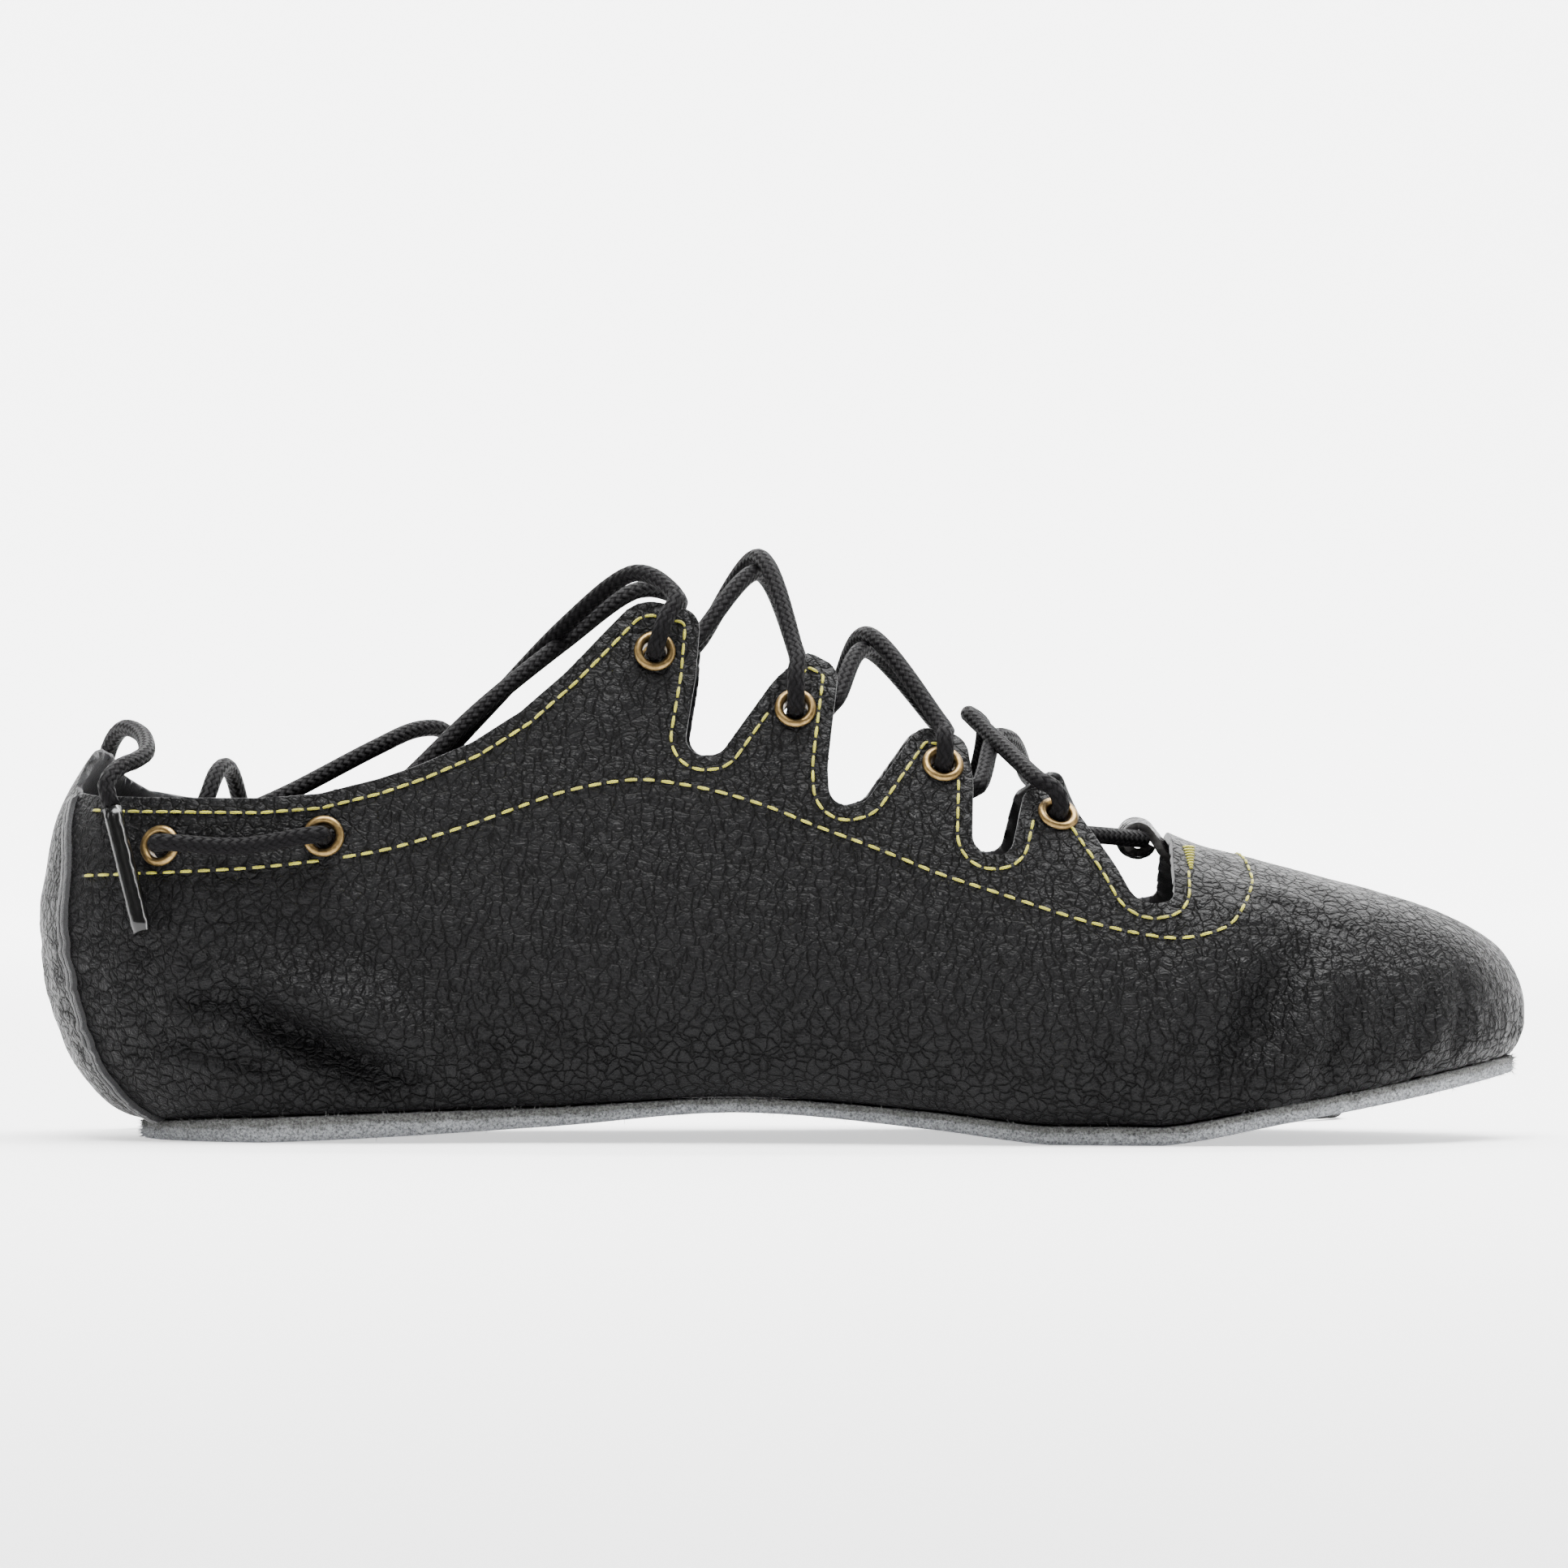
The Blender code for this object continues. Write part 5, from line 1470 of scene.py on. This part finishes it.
def vampStitches(side):
    # from the end of the side's lower line up to the crest of the vamp
    distance, row = findOnSide(side, *lowerLine[-1])
    steps = [(distance, (row + (1.0 - row) * k / 8) * leatherSheet["rowUnit"]) for k in range(9)]
    return stitchesAlong(np.array(steps), stitching["lowerPitch"])


def makeStitches():
    print("stage: stitches")
    runs, holes = [], []
    finish = threadMaterial()
    for side in (near, far):
        lines = edgeStitches(side)
        holes += lines
        runs += lines + bartackRuns(side)
    for side in (near, far):
        runs += vampStitches(side)
    # near-black discs: painted shade in the needle holes
    makeNeedleHoles(holes, fleshMaterial("needleHoleShade", (0.0015, 0.0015, 0.0015)))
    thread = stitchMesh("yellowStitches", runs, finish)
    settle(thread, "black_leather")
    print("stitches", len(runs))


# soles

soleParts = {
    "stations": 420,
    "bottomRows": 18,
    "topRows": 6,
    "edgeFrom": -0.3 * mm,
    # roughness of the cut edge: scale, height, shift
    "rough": ((620, 0.22 * mm, (0, 0, 0)), (1500, 0.10 * mm, (3, 1, 2))),
    "roughBelow": 0.6,
}
outsoleEdge = (
    # millimetres out, share of the thickness
    (-5.0, 1.0), (-1.2, 1.0), (0.3, 1.0), (0.78, 0.98), (0.98, 0.86), (1.0, 0.7), (0.92, 0.58), (0.98, 0.46),
    (0.98, 0.3), (0.84, 0.14), (0.5, 0.04), (-0.2, 0.0), (-1.4, 0.0), (-3.4, 0.0),
)
insoleParts = {"inset": 2.6, "seat": 2.0, "thick": 1.0, "rows": 16}
# millimetres further in than the inset, share of the thickness
insoleEdge = ((2.0, 1.0), (0.5, 1.0), (0.12, 0.85), (0.0, 0.55), (0.1, 0.2), (0.5, 0.0), (2.0, 0.0))


def soleGrid(name, edge, across, heights):
    # a closed slab whose section runs in under the foot, round the near edge, across and back
    stations = soleParts["stations"]
    steps = np.linspace(0, halfRound, 2001)
    spread = (1 - np.cos(np.pi * np.arange(stations + 1) / stations)) / 2
    distances = []
    for sign in (1, -1):
        xs = featherCurve(sign * steps)[:, 0]
        wanted = xs[0] + (xs[-1] - xs[0]) * spread
        distances.append(sign * np.interp(wanted, xs, steps))
    # weight of the far side, millimetres out of the sole's edge, share of the thickness
    section = [(0.0, out, share) for out, share in edge]
    inner, innerShare = edge[-1]
    section += [(w, inner, innerShare) for w in np.linspace(0, 1, across + 2)[1:-1]]
    section += [(1.0, out, share) for out, share in edge[::-1]]
    inner, innerShare = edge[0]
    section += [(w, inner, innerShare) for w in np.linspace(1, 0, soleParts["topRows"])[1:-1]]
    section.append(section[0])
    count = len(section) - 1
    slabPiece, columns, rows = gridPiece(name, count, stations)
    weights, outs, shares = np.array(section)[columns].T
    outs = outs * mm
    nearPoints, farPoints = (solePoint(distance[rows], outs, 1.0) for distance in distances)
    points = nearPoints * (1 - weights[:, None]) + farPoints * weights[:, None]
    points[:, 2] = heights(points[:, 0], points[:, 1], shares)
    places = np.stack([rows / stations, shares], axis=1)
    addMap(slabPiece.data, "onEdge", lambda corners: places[corners])
    return slabPiece, points, shares, outs


def suedeMaterial():
    made, tree, shader = newMaterial("greySuede", 0.95, colour=(0.33, 0.33, 0.33))
    place = objectPlace(tree)
    nap = noiseNode(tree, place, 2300, 5, 0.72)
    clump = noiseNode(tree, objectPlace(tree, (0.5, 0.5, 1.5)), 420, 4, 0.6)
    # the share of the thickness sets the tone, with a ragged border
    share = uvParts(tree, "onEdge")[1]
    ragged = addScaled(tree, share, mathNode(tree, "SUBTRACT", clump, 0.5), 0.5)
    tone = rampNode(tree, ragged, (
        (0.0, (0.24, 0.25, 0.265)), (0.3, (0.42, 0.435, 0.455)),
        (0.52, (0.36, 0.37, 0.38)), (0.68, (0.165, 0.168, 0.162)),
    ))
    flecks = rampNode(tree, nap, ((0.38, (0.30,)), (0.60, (1.25,))))
    mixed = tree.nodes.new("ShaderNodeMix")
    mixed.data_type = "RGBA"
    mixed.blend_type = "MULTIPLY"
    mixed.inputs[0].default_value = 1.0
    tree.links.new(tone, mixed.inputs[6])
    tree.links.new(flecks, mixed.inputs[7])
    tree.links.new(mixed.outputs[2], shader.inputs["Base Color"])
    tree.links.new(bumpNode(tree, addScaled(tree, nap, clump, 1.4), 0.00055), shader.inputs["Normal"])
    tune(shader, {"Sheen Weight": 0.15, "Specular IOR Level": 0.12})
    return made


def heightWithin(x, y, share):
    # height inside the sole's thickness, for a share of its own at each point
    return soleHeight(x, y, 0.0) * (1 - share) + soleHeight(x, y, 1.0) * share


def makeOutsole():
    print("stage: outsole")
    suede = suedeMaterial()
    sole, points, shares, outs = soleGrid("suedeSole", outsoleEdge, soleParts["bottomRows"], heightWithin)
    rough = sum(noiseAt(points, scale, shift) * height for scale, height, shift in soleParts["rough"])
    onEdge = outs > soleParts["edgeFrom"]
    # outward from the sole's long middle line
    direction = points - np.stack([points[:, 0] * 0.9, np.zeros(len(points)), points[:, 2]], axis=1)
    direction[:, 2] = 0
    points += unitRows(direction) * (rough * onEdge)[:, None]
    underneath = (shares < 0.05) & ~onEdge
    points[:, 2] += np.where(underneath, np.abs(rough) * soleParts["roughBelow"], 0)
    placeVertices(sole, points)
    sole.data.materials.append(suede)
    closeUp(sole, 0.02 * mm, 70)
    settle(sole, "grey_suede", "outsole")
    makeFibres(suede)


fibres = {"count": 6500, "length": (0.4, 1.5), "radius": 0.055, "seed": 11, "rootOut": 0.86,
          "lowestShare": 0.06, "spread": 0.55, "droop": 0.6, "lowest": 0.1}


def makeFibres(finish):
    # loose suede fibres along the sole's cut edge: three-sided spikes, joined
    pick = np.random.default_rng(fibres["seed"])
    count = fibres["count"]
    distance = pick.uniform(-halfRound, halfRound, count)
    share = pick.uniform(fibres["lowestShare"], 1.0, count)
    root = solePoint(distance, np.full(count, fibres["rootOut"] * mm), 1.0)
    root[:, 2] = heightWithin(root[:, 0], root[:, 1], share)
    aim = edgeOut(distance) + pick.normal(0, fibres["spread"], (count, 3))
    aim[:, 2] += share - fibres["droop"]
    aim = unitRows(aim)
    length = pick.uniform(*fibres["length"], count) * mm
    end = root + aim * length[:, None]
    end[:, 2] = np.maximum(end[:, 2], fibres["lowest"] * mm)
    side = unitRows(np.cross(aim, np.array([0.0, 0.0, 1.0])))
    other = np.cross(aim, side)
    radius = fibres["radius"] * mm
    angles = [math.tau * k / 3 for k in range(3)]
    ring = [root + (side * math.cos(a) + other * math.sin(a)) * radius for a in angles]
    vertices = np.stack([*ring, end], axis=1).reshape(-1, 3)
    base = np.arange(count)[:, None] * 4
    faces = np.concatenate([base + np.array(t) for t in ((0, 1, 3), (1, 2, 3), (2, 0, 3), (0, 2, 1))], axis=1)
    fuzz = meshPiece("suedeFibres", vertices.tolist(), faces.reshape(-1, 3).tolist(), finish)
    addMap(fuzz.data, "onEdge", lambda corners: np.stack([corners * 0.0, share[corners // 4]], axis=1))
    settle(fuzz, "grey_suede")


def makeInsole():
    print("stage: insole")
    inset, seat, thick = insoleParts["inset"], insoleParts["seat"], insoleParts["thick"]
    edge = [(-inset - further, share) for further, share in insoleEdge]
    lining, points = soleGrid(
        "insoleLining", edge, insoleParts["rows"],
        lambda x, y, share: soleHeight(x, y, 1.0) + (seat + thick * share) * mm,
    )[:2]
    placeVertices(lining, points)
    lining.data.materials.append(fleshMaterial("charcoalLining", (0.035, 0.034, 0.034), 0.0001))
    closeUp(lining, 0.02 * mm, 60)
    settle(lining, "lining_board", "insole")


# toe loop

def makeToeLoop():
    print("stage: toe loop")
    centre = Vector((toeLoop["x"], toeLoop["z"]))
    tail = Vector((toeLoop["tailX"], toeLoop["tailZ"]))
    along = (tail - centre).normalized()
    middleRadius = (toeLoop["outer"] + toeLoop["inner"]) / 2
    path = [tail, tail + (centre - tail) * 0.2, tail + (centre - tail) * 0.42]
    for i in range(toeLoop["arcSteps"] + 1):
        angle = toeLoop["from"] + toeLoop["turn"] * i / toeLoop["arcSteps"]
        path.append(centre + Matrix.Rotation(math.radians(angle), 2) @ along * middleRadius)
    line = np.array(smoothFlat([(p.x, p.y) for p in path], toeLoop["rowStep"]))
    strip, columns, rows = gridPiece("toeLoopRoll", toeLoop["columns"], len(line) - 1)
    share = columns / toeLoop["columns"]
    y = toeLoop["side"] + (share - 0.5) * toeLoop["width"]
    pinch = 1 - toeLoop["pinch"] * np.cos(rows / len(line) * math.tau)
    points = np.stack([line[rows, 0], toeLoop["side"] + (y - toeLoop["side"]) * pinch, line[rows, 1]], axis=1)
    ripple = noiseAt(points * np.array([0.35, 1.3, 0.35]), 1) * toeLoop["ripple"]
    away = points - np.array([toeLoop["x"], 0, toeLoop["z"]])
    away[:, 1] = 0
    points += unitRows(away) * (ripple * np.clip(rows / 12, 0, 1))[:, None]
    # towards the near end the roll hugs the lace more and its tail droops
    nearShare = 1 - share
    hug = 1 - toeLoop["nearHug"] * nearShare
    ring = np.clip((rows - 8) / 10, 0, 1)
    scale = 1 - ring * (1 - hug)
    points[:, 0] = toeLoop["x"] + (points[:, 0] - toeLoop["x"]) * scale
    points[:, 2] = toeLoop["z"] + (points[:, 2] - toeLoop["z"]) * scale
    droop = np.clip(1 - rows / 26, 0, 1) * np.clip(rows / 6, 0.4, 1)
    points[:, 2] -= droop * nearShare * toeLoop["droop"]
    placeVertices(strip, points * mm)
    glossy = pebbleLeather("glossyRolledLeather", (0.012, 0.010, 0.010), 0.24, 0.00010, 0.9)
    for finish in (glossy, fleshMaterial("charcoalLoopFlesh", (0.03, 0.028, 0.027)), glossy):
        strip.data.materials.append(finish)
    wall = strip.modifiers.new("wall", "SOLIDIFY")
    wall.thickness = toeLoop["thick"] * mm
    wall.offset = 0
    wall.material_offset_rim = 1
    applyModifier(strip, "wall")
    softenEdges(strip, toeLoop["edge"] * mm, 60)
    closeUp(strip, 0.001 * mm)
    settle(strip, "loop_leather", "toe_loop")


# eyelets

eyeletShape = {"rim": 3.5, "bore": 2.0, "barrel": 2.38, "seat": 0.1, "curl": 0.65, "turns": 48}


def eyeletSection():
    # radius and height of the closed section: rolled flange outside, barrel, small curl inside
    rim, bore, barrel = eyeletShape["rim"], eyeletShape["bore"], eyeletShape["barrel"]
    seat = eyeletShape["seat"]
    middle, half = (rim + bore) / 2, (rim - bore) / 2
    top = [(middle - math.cos(a) * half, seat + 0.12 + math.sin(a) * 0.72)
           for a in (math.pi * k / 12 for k in range(13))]
    low = -(last["wall"] / mm + eyeletShape["curl"])
    inner = [(middle - 0.1 + math.cos(a) * (half - 0.2), low + 0.1 - math.sin(a) * 0.5)
             for a in (math.pi * k / 8 for k in range(9))]
    outside = [(barrel + 0.1, seat), (barrel, seat - 0.15), (barrel, low + 0.15)]
    return top + outside + inner[:-1] + [(bore, low + 0.1)]


def brassMaterial():
    made, tree, shader = newMaterial("antiqueBrass", 0.34, 1.0, (0.36, 0.22, 0.10))
    place = objectPlace(tree)
    tarnish = noiseNode(tree, place, 700, 4, 0.65)
    tree.links.new(rampNode(tree, tarnish, (
        (0.3, (0.11, 0.072, 0.030)), (0.55, (0.24, 0.160, 0.065)), (0.8, (0.38, 0.26, 0.11)),
    )), shader.inputs["Base Color"])
    tree.links.new(rampNode(tree, tarnish, ((0.3, (0.46,)), (0.75, (0.27,)))), shader.inputs["Roughness"])
    scratch = noiseNode(tree, objectPlace(tree, (1, 1, 6)), 1800, 2)
    tree.links.new(bumpNode(tree, scratch, 0.00003), shader.inputs["Normal"])
    return made


def makeEyelets():
    print("stage: eyelets")
    brass = brassMaterial()
    section = eyeletSection()
    nodesByName = {"HeelFront": "heel_front", "HeelRear": "heel_rear"}
    nodesByName |= {f"Tab{i + 1}": f"tab_{i + 1}" for i in range(len(tabs))}
    edges = [(i, (i + 1) % len(section)) for i in range(len(section))]
    master = meshPiece("eyeletMaster", [(r * mm, 0, h * mm) for r, h in section], [], edges=edges)
    makeActive(master)
    bpy.ops.object.mode_set(mode="EDIT")
    bpy.ops.mesh.select_all(action="SELECT")
    bpy.ops.mesh.spin(steps=eyeletShape["turns"], angle=math.tau, center=(0, 0, 0), axis=(0, 0, 1))
    mergeAndTurnOut(0.002 * mm)
    bpy.ops.object.shade_smooth_by_angle(angle=math.radians(45))
    master.data.materials.append(brass)
    for side, word, name, x, z in eyeletPlaces():
        ring = master.copy()
        ring.data = master.data.copy()
        ring.name = f"brassEyelet{name}{word}"
        bpy.context.scene.collection.objects.link(ring)
        turn = normalAt(side, x, z).to_track_quat("Z", "Y").to_matrix().to_4x4()
        ring.data.transform(Matrix.Translation(onUpper(side, x, z)) @ turn)
        settle(ring, "antique_brass", f"eyelet_{nodesByName[name]}_{word.lower()}")
    bpy.data.objects.remove(master, do_unlink=True)


makeBackSeam(fleshMaterial("seamRawEdges", (0.022, 0.022, 0.023), 0.00016))
makeStitches()
makeOutsole()
makeInsole()
makeToeLoop()
makeEyelets()
